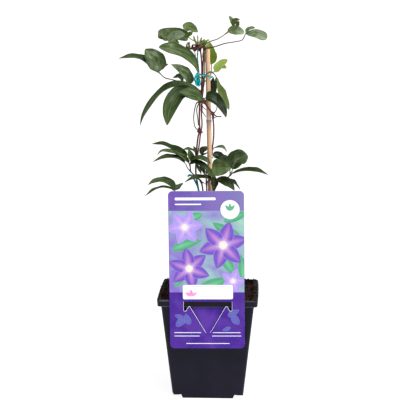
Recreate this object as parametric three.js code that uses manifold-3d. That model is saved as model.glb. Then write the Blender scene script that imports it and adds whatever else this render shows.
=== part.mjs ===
// A young climbing clematis in a square nursery pot: soil, a bamboo cane, two soft ties, five leafy stems and a
// printed plant card that clips over the pot's lip. Millimetres, +Z up. The origin is the middle of the
// pot's foot, and the card hangs on the front, at -Y.
import * as THREE from "three";
import { mergeVertices } from "three/addons/utils/BufferGeometryUtils.js";
import Module from "manifold-3d";

const wasm = await Module();
wasm.setup();

// ---- Driving dimensions ---------------------------------------------------------------------------------
const CLEARANCE = 0.3; // between two pieces that touch

// pot
const POT_HEIGHT = 134;
const RIM_WIDTH = 129.4;
const FOOT_WIDTH = 91.2; // of the walls, carried down to the surface that the pot stands on
const WALL_TOP_WIDTH = 118.8;
const WALL = 1.2;
const CORNER_RADIUS = 6;
const LIP_HEIGHT = 8.5;
const LIP_TAPER = 1.2; // the skirt comes in by this much at its lower edge
const BULGE = 0.8; // of each side at the rim, from the soil's weight
const FLOOR = 1.6;
const FOOT_RAISE = 6; // the floor's corners stand this far off the ground
const FOOT_ARM_WIDTH = 65; // of the cross that it stands on
const FOOT_SLOPE = 2.4;
const DRAIN_RADIUS = 4.5;
const DRAIN_OFFSET = 36;

// soil
const SOIL_LEVEL = 129;
const SOIL_RELIEF = 1.6;
const SOIL_GRID = 10;

// cane
const CANE_RADIUS = 3.1;
const CANE_FOOT = new THREE.Vector3(6.1, 0, 12);
const CANE_TOP = new THREE.Vector3(-2.2, 0, 447.5);
const CANE_NODES = [95, 226, 357]; // heights of the bamboo's rings
const CANE_NODE_SWELL = 0.45;

// plant card
const CARD_WIDTH = 95;
const CARD_BOTTOM = 72.5;
const CARD_TOP = 274.8;
const CARD_THICKNESS = 0.6;
const CARD_CORNER = 5.5;
const CARD_LEAN = THREE.MathUtils.degToRad(0.6); // hangs a little askew
const SLOT_MIDDLE = 0.9;
const SLOT_HALF_WIDTH = 30.6;
const SLOT_TOP = 133.4;
const EAR_BOTTOM = 120.8;
const SHOULDER_HALF_WIDTH = 23.2;
const SHOULDER_TOP = 127.4;
const TONGUE_ROOT = 93; // height of the narrow strip that still joins the tongue to the card
const TONGUE_ROOT_HALF_WIDTH = 2.2;
const TONGUE_TOP = 129;
const TONGUE_CUT = 0.5; // width of the cut beside the tongue

// plant
const BLADE_THICKNESS = 0.75;
const BLADE_FOLD = THREE.MathUtils.degToRad(16);
const BLADE_WAVE = 0.8;
const BLADE_STATIONS = [0, 0.07, 0.24, 0.44, 0.66, 0.86, 1];
const BLADE_BLUNT = 0.5; // half width left at the base and the tip
// Outlines of leaves: how slowly each widens from its base, and narrows to its tip.
const BLADE_OUTLINES = {
  ovate: [0.45, 0.9], oval: [0.55, 0.65], round: [0.34, 0.3], lance: [0.9, 0.95],
  drop: [1.15, 0.9], paddle: [1.1, 0.66], spoon: [0.9, 0.48],
};
const STEM_SIDES = 6;
const PETIOLE_SIDES = 4;
const TIE_RING_RADIUS = 0.9;
const TIE_RING_STEPS = 16;
const TIE_SIDES = 5;

// ---- Placing --------------------------------------------------------------------------------------------
// The plant's points are [x, y, z], where x and z are the place on the plane y = 0 that the point covers as seen
// from VANTAGE, and y is its true depth.
const VANTAGE = new THREE.Vector3(66, -1600, 505);

function sight([x, y, z]) {
  const onPlane = new THREE.Vector3(x, 0, z);
  return onPlane.sub(VANTAGE).multiplyScalar(1 - y / VANTAGE.y).add(VANTAGE);
}

// Leafy stems. A stem is [first radius, last radius, points]. A leaf is [half width, outline, tilt, points along
// the midrib]: at tilt 0 the blade faces the vantage, and at 90 its upper side faces up.
const VINES = {
  // rises behind the others to the top: the upper left leaves and the ones behind the cane
  vine_left: {
    stems: [
      [1.3, 1, [[-12, 8, 95], [-12, 7, 130], [-12.5, 6, 165], [-11.5, 5.5, 200], [-13, 4.5, 235],
        [-14, 3, 265], [-17.5, 2, 290], [-16.6, 2, 311], [-16, 2.8, 322], [-14.5, 2.4, 335],
        [-12.3, 1.6, 345], [-12.8, 1.6, 355], [-12.2, 1.6, 377], [-10.2, 2, 390], [-9.6, 2, 405],
        [-9.4, 2, 419], [-9.8, 1.4, 432], [-11.5, 0.6, 447], [-13, 0.4, 453]]],
      [1, 0.7, [[-12, 0.5, 449.4], [-22, 1.5, 448.6], [-31, 3, 449.4], [-42, 5, 450.4], [-50, 7, 452],
        [-51.8, 8.4, 460.6]]],
      [0.7, 0.5, [[-12.5, 0.5, 451], [-17, 1, 456.5], [-24, 2, 461], [-28.4, 3, 465.6], [-31, 3, 471.8]]],
      [1.1, 0.9, [[-13.2, 0.4, 451.6], [-16.8, -0.6, 455], [-18.2, -1, 459], [-20, -1.6, 464.6]]],
      [0.9, 0.8, [[-13.2, 0.4, 452], [-14.4, -0.4, 457], [-14.8, -2, 465.4]]],
      [1.2, 1, [[-13, 0.4, 452], [-12.2, 1.2, 456], [-9.6, 2.4, 462.6]]],
      [1.2, 0.9, [[-13, 0.4, 450], [-15, 0.8, 453], [-15.2, 1.2, 457.2]]],
      [1.1, 0.9, [[-21.2, 1.4, 448.8], [-21.6, 1.2, 451], [-21.2, 1, 453.2]]],
      [1, 0.9, [[-25.8, 2, 449], [-25.8, 1.7, 452.6], [-25.2, 1.4, 456.6]]],
      [0.9, 0.8, [[-28.8, 2.6, 449.4], [-28.8, 2.4, 452], [-28.4, 2.2, 455]]],
      [0.6, 0.5, [[-19.4, 1.2, 448.8], [-18.4, 1.6, 443], [-17.2, 2, 438.6]]],
      [0.9, 0.7, [[-10.2, 2, 393], [-18, 4, 399.5], [-34, 8, 404.8], [-47, 12, 408.8], [-57, 14, 411.4],
        [-65, 16, 418.5]]],
      [0.7, 0.6, [[-65, 16, 418.3], [-70, 17.4, 420.4], [-74.5, 19, 425.4]]],
      [0.8, 0.6, [[-9.6, 2, 404], [-5.5, 7.4, 407], [0, 8.4, 410], [2.4, 8, 418], [2.8, 7.5, 430]]],
      [0.7, 0.6, [[-0.8, 8.3, 409.6], [3.5, 9, 412], [5.6, 9, 411.8]]],
      [0.7, 0.6, [[-16.4, 2.2, 309], [-12.5, 3.8, 310.6], [-10, 4.6, 312.6]]],
    ],
    leaves: [
      [6, "ovate", 20, [[-51.8, 8.3, 459.6], [-55.6, 8.8, 463.4], [-61.5, 10.4, 468]]],
      [8.3, "round", 14, [[-26.8, 22, 462], [-38, 16, 466], [-52, 11.6, 466.4], [-65.6, 15, 466.2]]],
      [7, "oval", 12, [[-52.4, 8, 457], [-43, 1, 464.8], [-31, -5, 466.6]]],
      [2.8, "lance", 20, [[-51.6, 7.4, 457], [-45, 3, 458.4], [-38, 0, 455.6]]],
      [6.1, "ovate", 22, [[-31.4, 3, 471.4], [-26, 6, 475.6], [-14.4, 11, 469.4]]],
      [2.8, "lance", 25, [[-27.8, 2.8, 464.4], [-24.6, 1.2, 466.8], [-20.8, 0.4, 469.2]]],
      [13, "ovate", 12, [[-65.3, 16, 419.4], [-70, 23, 434], [-82, 33, 448]]],
      [9, "ovate", 66, [[-74.3, 19, 425], [-88, 26, 435], [-103, 34, 437], [-116, 40, 435.8]]],
      [3.2, "lance", 40, [[-64.7, 16, 418.6], [-60.5, 19, 424], [-52.5, 24, 429]]],
      [8.5, "ovate", 38, [[-26.5, 6.2, 402.5], [-28.5, 2, 412], [-37, -5, 420.5], [-49, -14, 428.3]]],
      [3.6, "lance", 40, [[-34, 8.2, 405.2], [-38.5, 13, 412.8], [-46.6, 18, 411.4]]],
      [9.4, "ovate", 8, [[2.6, 7.5, 428.5], [-0.2, 12, 441], [0.8, 19, 456.6]]],
      [3.6, "lance", 25, [[5.5, 9, 412], [4.6, 12, 402], [4.2, 16, 388]]],
      [4, "oval", 25, [[-10, 4.6, 312.5], [-8, 8, 318], [-2, 13, 322.4]]],
      [3, "lance", 72, [[-10.5, 4.3, 310.8], [-6, 6.4, 312.6], [-1, 9, 315.4]]],
    ],
  },
  // twists along its left neighbour and carries the arched petiole, the two long shoots and their small leaves
  vine_right: {
    stems: [
      [1.2, 0.9, [[-10, -1, 95], [-10, -1, 130], [-9, -2.2, 165], [-10.5, -1.5, 200], [-12.2, -2.5, 235],
        [-14, -1.9, 265], [-17.3, -2, 290], [-15.2, -2, 311], [-13, -1.8, 325], [-11.2, -2, 340],
        [-9.4, -2.6, 350], [-10, -2.6, 365], [-9.6, -2.6, 378], [-8.2, -2.6, 395], [-8.2, -2, 418],
        [-7.8, -2.2, 433], [-7, -2.4, 448], [-8, -3, 453.5]]],
      [0.9, 0.7, [[-8.2, -2.6, 407.4], [-6.6, -6.6, 410], [-4.7, -8.4, 413.8], [-2.6, -8.8, 416.8],
        [1, -8.8, 418.8], [4.6, -8.4, 417.8], [7.4, -8, 415], [9, -7.7, 412.2], [10.3, -7.4, 409.6]]],
      [0.6, 0.5, [[2.6, -8.6, 418.7], [5, -8.3, 418.8], [7.4, -7.7, 419.6]]],
      [0.9, 0.7, [[-8.2, -2.6, 407.4], [-9.8, -6.4, 410.2], [-13, -8.8, 413.8], [-15, -9, 418.2]]],
      [0.9, 0.6, [[-7.6, -2.8, 451.5], [0, -2.4, 457], [10, 1, 460.5], [17, 5, 464.5], [24, 10, 470]]],
      [0.7, 0.5, [[22, 8.6, 468], [26.5, 12, 472.4], [30.5, 14, 476.2]]],
      [0.6, 0.5, [[30.5, 14, 476], [35, 13.6, 477.4], [39.6, 12.8, 475.4]]],
      [0.9, 0.6, [[-7.4, -2.6, 446.4], [-3.6, -5.4, 449], [5, -8, 450.4], [20, -14, 455], [35, -21, 457.6],
        [42, -24, 459.6], [46.4, -26, 467.8]]],
      [0.8, 0.6, [[-7.8, -2.8, 452], [-6, -3.5, 456.6], [-3, -4.6, 458.6]]],
      [0.8, 0.6, [[-15.8, -2, 308.5], [-16.4, -4.2, 305.4], [-17.2, -5.2, 302.6], [-17.8, -5.4, 300.4]]],
      [0.6, 0.5, [[-9.6, -2.6, 375.6], [-7, 0.8, 372.8], [-4, 4.4, 370.2]]],
      [0.6, 0.5, [[-10, -2.6, 370.4], [-7.4, 0.8, 365.8], [-4, 4.4, 361.2]]],
    ],
    leaves: [
      [8.2, "paddle", 24, [[-14.7, -9, 417.8], [-16.9, -12, 426.5], [-25, -17, 437.2], [-39, -24, 445.4],
        [-52, -29, 448.6], [-64.6, -33, 450.3]]],
      [6.2, "drop", 38, [[10.5, -7.4, 411], [11.2, -4, 402], [14.6, 1, 392.5], [19.8, 7, 382],
        [25.4, 13, 370.6]]],
      [2, "lance", 35, [[9, -7.7, 411.8], [8.6, -3, 402], [7.2, 2, 389]]],
      [5.4, "oval", 25, [[7, -7.7, 419.4], [13.4, -11, 426.6], [23.4, -15, 434.6]]],
      [2.7, "lance", 30, [[13.4, -11.2, 424.6], [18, -12.6, 425], [22.4, -14, 423.6]]],
      [3, "lance", 20, [[30.5, 14, 476.2], [29.2, 16, 483], [25, 19, 489.8]]],
      [3.2, "lance", 25, [[30.6, 14, 477.4], [32.6, 13, 482.8], [38.8, 9, 485.5]]],
      [2.4, "oval", 20, [[34.8, 13.6, 476.8], [36.6, 13, 480], [38, 12, 483.2]]],
      [6.2, "oval", 26, [[23.2, 10, 470.2], [33, 13, 471], [44.6, 18, 468.8]]],
      [3.2, "lance", 42, [[46.4, -26, 467.6], [51, -30, 473], [58.4, -36, 474.8]]],
      [6.3, "spoon", 22, [[46.6, -26, 467.4], [59, -30, 467], [73.6, -32, 461.4]]],
      [2.6, "lance", 45, [[-16.6, -4.6, 304], [-10.8, -8, 296.6], [-7.8, -9.6, 290.4], [-5.6, -11, 284.6]]],
      [2.5, "lance", 40, [[-18, -5.4, 300.6], [-15.4, -7, 296.8], [-12.4, -8.6, 291.4],
        [-10.6, -9.6, 286.4]]],
      [2.7, "lance", 50, [[-16.4, -3, 308], [-18.4, -3.6, 316], [-20.4, -4.4, 323.8]]],
      [4, "lance", 74, [[-15.2, -2.6, 312.5], [-22.6, -4, 318.4], [-35, -6, 318.8]]],
      [1.7, "lance", 25, [[-5.4, -3.6, 455.4], [-3, -4.4, 458], [0.4, -5, 459.6]]],
      [1.7, "lance", 25, [[-7.6, -3.2, 453.6], [-7.6, -4, 457], [-5.6, -4.6, 460.6]]],
      [2.4, "lance", 30, [[-5, -3.4, 449.6], [-8.4, -4.6, 451.4], [-12.6, -4.8, 451.8]]],
    ],
  },
  // rises behind the cane, comes out on its right and crosses in front of it to the broad middle leaves
  vine_back: {
    stems: [
      [1.2, 1, [[7.4, 10, 95], [6.4, 9, 130], [5.6, 7.6, 165], [4, 7.6, 200], [2.6, 7, 235], [1.2, 6.6, 265],
        [1, 6.6, 298], [3.6, 5.6, 318], [5.5, 4.6, 334], [5.8, 3.4, 348], [4.9, 0.4, 359], [4.4, -3.8, 365.6],
        [0, -5.8, 371], [-3.4, -6.4, 375.4], [-8, -6.8, 383.2]]],
      [0.9, 0.6, [[-7, -6.8, 381.5], [-8.6, -7.4, 387], [-11, -8.4, 392.6]]],
      [0.8, 0.6, [[-7, -6.8, 381.5], [-6.6, -7.4, 384.4], [-4, -8, 386]]],
      [0.7, 0.8, [[4.5, -3.4, 365.4], [7.4, -5, 363.4], [10, -6, 361.9], [14, -6.4, 361.9],
        [15.8, -6.4, 362.5]]],
      [0.7, 0.5, [[4.5, -3.4, 365.6], [7.8, -4.4, 368.2], [9.6, -5.4, 371.6], [9.8, -6, 375.6]]],
      [0.6, 0.5, [[4.7, -0.6, 360.4], [6.2, -3.8, 360.2], [8.4, -5.4, 361], [10.2, -6, 361.9]]],
      [0.9, 0.6, [[-6.4, -6.8, 380.4], [-15.6, -7.6, 379.6], [-18.6, -7.4, 372], [-20, -6.6, 358],
        [-18, -5.6, 347.6], [-14, -4.8, 343.6]]],
      [0.8, 0.5, [[-12.4, -7.4, 380], [-16, -5.8, 372], [-14.8, -5.2, 359], [-14, -5, 350]]],
      [0.7, 0.6, [[1.2, 6.4, 304], [3.4, 6.8, 307.6], [5, 6.8, 310]]],
      [0.7, 0.6, [[3, 5.8, 314], [4.4, 7.4, 318.4], [5.8, 8, 320.9]]],
    ],
    leaves: [
      [9, "lance", 66, [[-10.6, -8.4, 392], [-20, -13, 398], [-38, -16, 401.4], [-50, -16, 399],
        [-62, -14, 391.6], [-76, -11, 374.8], [-85, -8, 361], [-89.5, -6, 349.6]]],
      [10.9, "drop", 20, [[-8.6, -7.2, 383.6], [-22, -15, 391], [-37, -25, 391.6], [-46.4, -33, 380],
        [-51.6, -38, 366], [-54.4, -42, 350]]],
      [8.2, "drop", 25, [[-8, -7.6, 382.8], [-18, -20, 388.6], [-28, -29, 391.2], [-38.4, -36, 393.4]]],
      [7.8, "ovate", 28, [[-4.6, -8, 386], [2, -10, 386.6], [9, -13, 381.8], [15, -17, 374.8],
        [19, -20.6, 367.6], [21.5, -24, 360.4]]],
      [5.4, "lance", 30, [[4.4, 6.8, 310.6], [9, 9, 312.2], [16, 12, 308.2], [21.6, 14.6, 301.6]]],
      [4.6, "lance", 38, [[6, 6.8, 309], [15, 14, 308.4], [21, 18, 306.8], [28, 22, 301.4]]],
      [3.4, "spoon", 66, [[5.6, 8, 320.8], [12, 12, 322], [18, 16, 321.2], [22.4, 20, 316.6]]],
    ],
  },
  // the lower left tier
  vine_low_left: {
    stems: [
      [1.2, 1, [[-3, -10.4, 95], [-4, -10, 130], [-6.6, -9.2, 165], [-5.4, -9.6, 200], [-7.6, -8.4, 235],
        [-8, -8.2, 262], [-11, -8.2, 277.6], [-17, -8.8, 283], [-20.6, -9.4, 286]]],
      [0.8, 0.6, [[-19.6, -9.2, 285], [-22, -9.8, 288], [-25.2, -10.4, 291.4], [-28.6, -11, 295.4],
        [-30.2, -11.6, 299.4], [-32.4, -12, 302.4]]],
      [0.7, 0.6, [[-24.6, -10.2, 290.8], [-24.4, -10, 294.4], [-25.4, -9.6, 299], [-28, -9, 304.4],
        [-31, -9, 309.6]]],
      [0.7, 0.5, [[-25.2, -9.6, 298], [-24.4, -8.6, 302], [-22.6, -7.6, 306.2]]],
      [0.7, 0.5, [[-11, -8.2, 277.6], [-8, -8.6, 275.8], [-5.6, -8.4, 274.4]]],
      [1, 0.7, [[-5.6, -9.6, 206], [-12, -14, 228], [-24, -19, 246], [-38, -22, 257], [-46, -22, 266]]],
    ],
    leaves: [
      [6.6, "ovate", 62, [[-29.4, -9, 309], [-40, -4, 315.6], [-50, 2, 320.8], [-61, 8, 325.4],
        [-74.4, 15, 326]]],
      [4.8, "ovate", 50, [[-26, -9, 302], [-33, -12, 307.6], [-42, -15, 313], [-52, -19, 316.4],
        [-62, -23, 316.6], [-67.4, -25, 311.4]]],
      [6.6, "ovate", 70, [[-31.4, -12, 301.4], [-41, -17, 307], [-51, -26, 308.4], [-62, -34, 306.8],
        [-72.8, -42, 302.8]]],
      [3.9, "oval", 20, [[-22.6, -8, 305.6], [-24.6, -11.4, 312], [-27, -13, 318.8]]],
      [5.6, "lance", 56, [[-25, -9, 304], [-17, -13.4, 307], [-7, -16, 305.8], [2, -18, 300.2]]],
      [4.4, "lance", 40, [[-25.2, -9.6, 300.4], [-17, -15, 302.2], [-9, -18.4, 298.6], [-3, -20, 294],
        [2.6, -20.6, 289.4]]],
      [6.6, "ovate", 50, [[-46, -22, 266.4], [-50.6, -27, 273], [-58, -33, 276.6], [-66, -39, 277.6],
        [-74, -46, 275.6], [-79.4, -50, 272.4]]],
      [3.6, "lance", 66, [[-46, -22, 266.4], [-54, -20, 268.6], [-62, -18, 269.2], [-72, -13, 265.6],
        [-83.4, -6, 258]]],
      [3.8, "ovate", 35, [[-46, -22, 265.6], [-41, -18, 269.4], [-34, -12, 275]]],
    ],
  },
  // the lower right tier
  vine_low_right: {
    stems: [
      [1.2, 0.9, [[2, -8.4, 95], [1, -8, 130], [-1.6, -8, 165], [-1, -7, 200], [-3.6, -6.6, 235],
        [-3.2, -5.6, 265], [-4, -5.4, 284], [-4.2, -5.2, 300]]],
      [0.9, 0.7, [[-3.8, -5.6, 275], [-1, -10.4, 278], [4.6, -14.6, 280.4], [12, -16.6, 280.6],
        [19, -19, 280.6], [24, -21, 282.6], [28.2, -22, 287]]],
      [0.7, 0.6, [[28.2, -22, 287], [29.4, -20.4, 290.6], [30, -18.8, 294]]],
      [0.7, 0.6, [[28.2, -22, 287], [26.8, -23, 290.4], [27.6, -23.6, 295.6]]],
    ],
    leaves: [
      [4.8, "oval", 30, [[-3.8, -5.6, 296], [-0.6, -9, 290.6], [3.4, -12, 285.8], [8, -14, 281.6]]],
      [4.7, "ovate", 30, [[4.4, -15.4, 283.4], [6, -17, 275.6], [4.8, -19, 262.4]]],
      [6, "ovate", 66, [[3.4, -14.6, 280.6], [-9, -20, 282.2], [-21, -23, 280.8], [-32, -26, 276.2]]],
      [11.4, "spoon", 6, [[28.4, -23.6, 296.2], [17, -25, 295.8], [3.6, -23, 295.4]]],
      [11.8, "oval", 14, [[30, -18.6, 293.6], [34.4, -14, 304.6], [48.8, -5, 313]]],
      [6.2, "lance", 66, [[28.6, -22, 287.4], [43, -30, 291.4], [60, -40, 291.2], [76, -49, 286.8]]],
      [6.7, "lance", 32, [[8.6, -15.8, 280], [17, -22, 278.6], [25, -29, 273.6], [32.8, -36, 265.8]]],
      [4, "lance", 68, [[22, -20, 281.2], [28, -19.6, 278.4], [34, -18, 274], [40.2, -15, 267]]],
    ],
  },
};

// Soft ties: [radius, closed, points], each fused to the others of its tie.
const TIES = {
  tie_upper: {
    ring: { middle: [-4.2, 0, 414.2], halves: [9, 6.1], rise: -0.18 },
    strands: [
      [1.8, [[-13.2, -0.8, 415], [-15.4, -3.4, 416], [-17.4, -5, 412.8], [-19, -5.2, 408.8],
        [-17.6, -4.8, 406.8], [-15.8, -4.2, 409.4]]],
      [1.8, [[-13.4, -1.6, 413.4], [-15.6, -4, 408.6], [-16, -4.8, 404], [-14, -4.8, 400.8],
        [-13, -4.4, 403.4], [-14.2, -4, 406.8]]],
      [0.7, [[-12.9, 0.4, 415.6], [-13.8, 4.4, 424], [-15, 5.4, 436], [-14.6, 5.4, 447]]],
    ],
  },
  tie_lower: {
    ring: { middle: [-4.6, -0.9, 243], halves: [13.4, 12.1], rise: 0 },
    strands: [
      [1.0, [[-17.5, -3.4, 242.2], [-16.9, -5.6, 247], [-15.6, -6, 255], [-13.6, -5.2, 265],
        [-17, -5.2, 275], [-19.6, -5.2, 280], [-22, -5.6, 284.6], [-25.4, -6.4, 285.6], [-28.2, -7.4, 283.6]]],
    ],
  },
};

// ---- Solids ---------------------------------------------------------------------------------------------
function toSolid(geometry) {
  const bare = geometry.clone();
  for (const name of Object.keys(bare.attributes)) if (name !== "position") bare.deleteAttribute(name);
  const merged = mergeVertices(bare, 1e-4);
  return new wasm.Manifold(new wasm.Mesh({
    numProp: 3,
    vertProperties: new Float32Array(merged.attributes.position.array),
    triVerts: new Uint32Array(merged.index.array),
  }));
}

function toGeometry(solid) {
  const mesh = solid.getMesh();
  const geometry = new THREE.BufferGeometry();
  geometry.setAttribute("position", new THREE.BufferAttribute(new Float32Array(mesh.vertProperties), 3));
  geometry.setIndex(new THREE.BufferAttribute(new Uint32Array(mesh.triVerts), 1));
  return geometry;
}

const fuse = (solids) => solids.reduce((sum, next) => sum.add(next));

// A closed skin over rings of the same number of points, with a fan on each end, or joined end to end as a loop.
function loft(rings, loop = false) {
  const count = rings[0].length;
  const positions = rings.flat().flatMap((p) => [p.x, p.y, p.z]);
  const triangles = [];
  const lastRing = loop ? rings.length : rings.length - 1;
  for (let i = 0; i < lastRing; i++) {
    const here = i * count;
    const next = ((i + 1) % rings.length) * count;
    for (let j = 0; j < count; j++) {
      const k = (j + 1) % count;
      triangles.push(here + j, here + k, next + k, here + j, next + k, next + j);
    }
  }
  if (!loop) {
    for (const [ring, flip] of [[0, true], [rings.length - 1, false]]) {
      const middle = rings[ring].reduce((sum, p) => sum.add(p), new THREE.Vector3()).divideScalar(count);
      const hub = positions.length / 3;
      positions.push(middle.x, middle.y, middle.z);
      for (let j = 0; j < count; j++) {
        const a = ring * count + j;
        const b = ring * count + ((j + 1) % count);
        triangles.push(...(flip ? [hub, b, a] : [hub, a, b]));
      }
    }
  }
  const geometry = new THREE.BufferGeometry();
  geometry.setAttribute("position", new THREE.Float32BufferAttribute(positions, 3));
  geometry.setIndex(triangles);
  return geometry;
}

// A round tube along a smooth line through the points, from one radius to the other.
function tube(points, firstRadius, lastRadius, sides, steps, closed = false) {
  const curve = new THREE.CatmullRomCurve3(points, closed, "centripetal");
  const frames = curve.computeFrenetFrames(steps, closed);
  const rings = [];
  for (let i = 0; i < (closed ? steps : steps + 1); i++) {
    const t = i / steps;
    const middle = curve.getPointAt(t);
    const radius = THREE.MathUtils.lerp(firstRadius, lastRadius, t);
    const ring = [];
    for (let j = 0; j < sides; j++) {
      const turn = (2 * Math.PI * j) / sides;
      ring.push(middle.clone()
        .addScaledVector(frames.normals[i], radius * Math.cos(turn))
        .addScaledVector(frames.binormals[i], radius * Math.sin(turn)));
    }
    rings.push(ring);
  }
  return loft(rings, closed);
}

// ---- Pot and soil ---------------------------------------------------------------------------------------
// A square with rounded corners whose sides bulge in the middle, at one height.
function roundedSquare(half, radius, bulge, z) {
  const ring = [];
  const arcSteps = 4;
  const sideSteps = 4;
  for (let quarter = 0; quarter < 4; quarter++) {
    const turn = (quarter * Math.PI) / 2;
    for (let i = 0; i <= arcSteps; i++) {
      const angle = -Math.PI / 2 + (i / arcSteps) * (Math.PI / 2);
      ring.push([half - radius + radius * Math.cos(angle), -half + radius + radius * Math.sin(angle), turn]);
    }
    for (let i = 1; i < sideSteps; i++) {
      const along = -1 + (2 * i) / sideSteps;
      ring.push([half + bulge * (1 - along * along), along * (half - radius), turn]);
    }
  }
  return ring.map(([x, y, turn]) => new THREE.Vector3(
    x * Math.cos(turn) - y * Math.sin(turn), x * Math.sin(turn) + y * Math.cos(turn), z));
}

const wallHalf = (z) => THREE.MathUtils.lerp(FOOT_WIDTH, WALL_TOP_WIDTH, z / (POT_HEIGHT - LIP_HEIGHT)) / 2;
const bulgeAt = (z) => BULGE * (z / POT_HEIGHT) ** 2;
const wallRing = (z, inset) =>
  roundedSquare(wallHalf(z) - inset, CORNER_RADIUS - 1 - inset, bulgeAt(z), z);

// What is left out under the floor's four raised corners, or above them where it is grown, with sloping sides.
function cornerBlocks(top, grow) {
  const outer = FOOT_WIDTH;
  const square = (inner, z) => [[inner, inner], [outer, inner], [outer, outer], [inner, outer]].map(([x, y]) =>
    new THREE.Vector3(x, y, z));
  const inner = FOOT_ARM_WIDTH / 2 - grow;
  const block = loft([square(inner - FOOT_SLOPE, -top), square(inner + FOOT_SLOPE, top)]);
  return fuse([0, 1, 2, 3].map((quarter) => toSolid(block.clone().rotateZ((quarter * Math.PI) / 2))));
}

// The room inside the pot, drawn in by the given gap on every side.
function potRoom(gap) {
  const heights = [FLOOR + gap, POT_HEIGHT * 0.35, POT_HEIGHT * 0.7, POT_HEIGHT + 5];
  const room = toSolid(loft(heights.map((z) => wallRing(z, WALL + gap))));
  return room.subtract(cornerBlocks(FOOT_RAISE + FLOOR + gap, gap + WALL));
}

function makePot() {
  const rimHalf = RIM_WIDTH / 2;
  const lipBottom = POT_HEIGHT - LIP_HEIGHT;
  const walls = [0, POT_HEIGHT * 0.35, POT_HEIGHT * 0.7, POT_HEIGHT - WALL / 2].map((z) => wallRing(z, 0));
  const lipRing = (half, z) => roundedSquare(half, CORNER_RADIUS, bulgeAt(POT_HEIGHT), z);
  const lip = [
    lipRing(rimHalf - LIP_TAPER, lipBottom),
    lipRing(rimHalf - 0.4, POT_HEIGHT - 1),
    lipRing(rimHalf - 1.1, POT_HEIGHT),
    lipRing(wallHalf(POT_HEIGHT) - WALL - 0.4, POT_HEIGHT),
    lipRing(wallHalf(POT_HEIGHT) - WALL - 0.4, POT_HEIGHT - WALL),
    lipRing(rimHalf - WALL - 0.4, POT_HEIGHT - WALL),
    lipRing(rimHalf - WALL - LIP_TAPER, lipBottom),
  ];
  const drain = new THREE.CylinderGeometry(DRAIN_RADIUS, DRAIN_RADIUS, 30, 12);
  drain.rotateX(Math.PI / 2);
  const drains = [[-1, -1], [-1, 1], [1, -1], [1, 1]].map(([sx, sy]) =>
    toSolid(drain.clone().translate(sx * DRAIN_OFFSET, sy * DRAIN_OFFSET, FOOT_RAISE)));
  return toSolid(loft(walls))
    .subtract(cornerBlocks(FOOT_RAISE, 0))
    .add(toSolid(loft(lip, true)))
    .subtract(potRoom(0))
    .subtract(fuse(drains));
}

function soilHeight(x, y) {
  const crumbs = Math.sin(x * 0.31 + 1.3) * Math.cos(y * 0.27) + 0.7 * Math.sin(x * 0.13 - y * 0.19 + 0.6);
  return SOIL_LEVEL + SOIL_RELIEF * crumbs * 0.6;
}

function makeSoil(holes) {
  const size = RIM_WIDTH;
  const top = new THREE.BoxGeometry(size, size, SOIL_LEVEL, SOIL_GRID, SOIL_GRID, 1);
  top.translate(0, 0, SOIL_LEVEL / 2);
  const place = top.attributes.position;
  for (let i = 0; i < place.count; i++) {
    if (place.getZ(i) > 1) place.setZ(i, soilHeight(place.getX(i), place.getY(i)));
  }
  return potRoom(CLEARANCE).intersect(toSolid(top)).subtract(fuse(holes));
}

// ---- Cane -----------------------------------------------------------------------------------------------
function caneProfile(radius, nodes) {
  const length = CANE_TOP.distanceTo(CANE_FOOT);
  const profile = [[0, 0], [radius - 0.4, 0], [radius, 0.4]];
  for (const height of nodes) {
    const along = height - CANE_FOOT.z;
    profile.push([radius, along - 3], [radius + CANE_NODE_SWELL, along - 0.8],
      [radius + CANE_NODE_SWELL, along + 0.6], [radius - 0.15, along + 1.8]);
  }
  profile.push([radius, length - 0.4], [radius - 0.4, length], [0, length]);
  return new THREE.LatheGeometry(profile.map(([x, y]) => new THREE.Vector2(x, y)), 12);
}

function standAsCane(object) {
  const up = CANE_TOP.clone().sub(CANE_FOOT).normalize();
  object.quaternion.setFromUnitVectors(new THREE.Vector3(0, 1, 0), up);
  object.position.copy(CANE_FOOT);
  object.updateMatrixWorld();
  return object;
}

function caneHole() {
  const depth = CANE_TOP.distanceTo(CANE_FOOT);
  const hole = new THREE.CylinderGeometry(CANE_RADIUS + CANE_NODE_SWELL + CLEARANCE,
    CANE_RADIUS + CANE_NODE_SWELL + CLEARANCE, depth, 12);
  hole.translate(0, depth / 2 - CLEARANCE, 0);
  return toSolid(hole.applyMatrix4(standAsCane(new THREE.Object3D()).matrixWorld));
}

// ---- Plant card -----------------------------------------------------------------------------------------
const CARD_BACK = -(RIM_WIDTH / 2 + BULGE + CLEARANCE); // y of the side that lies on the lip
const TONGUE_LEAN = Math.atan2(LIP_TAPER + WALL + 2 * CLEARANCE + CARD_THICKNESS + 0.65,
  POT_HEIGHT - LIP_HEIGHT - TONGUE_ROOT);

function cardPlate(shape) {
  const flat = { depth: CARD_THICKNESS, bevelEnabled: false, curveSegments: 6 };
  const plate = new THREE.ExtrudeGeometry(shape, flat);
  return plate.rotateX(Math.PI / 2);
}

// Half width of the tongue at a height, on the line from the card's shoulder down to the root.
const tongueHalf = (z) => THREE.MathUtils.mapLinear(
  z, TONGUE_ROOT, SHOULDER_TOP, TONGUE_ROOT_HALF_WIDTH, SHOULDER_HALF_WIDTH - 1);

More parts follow.
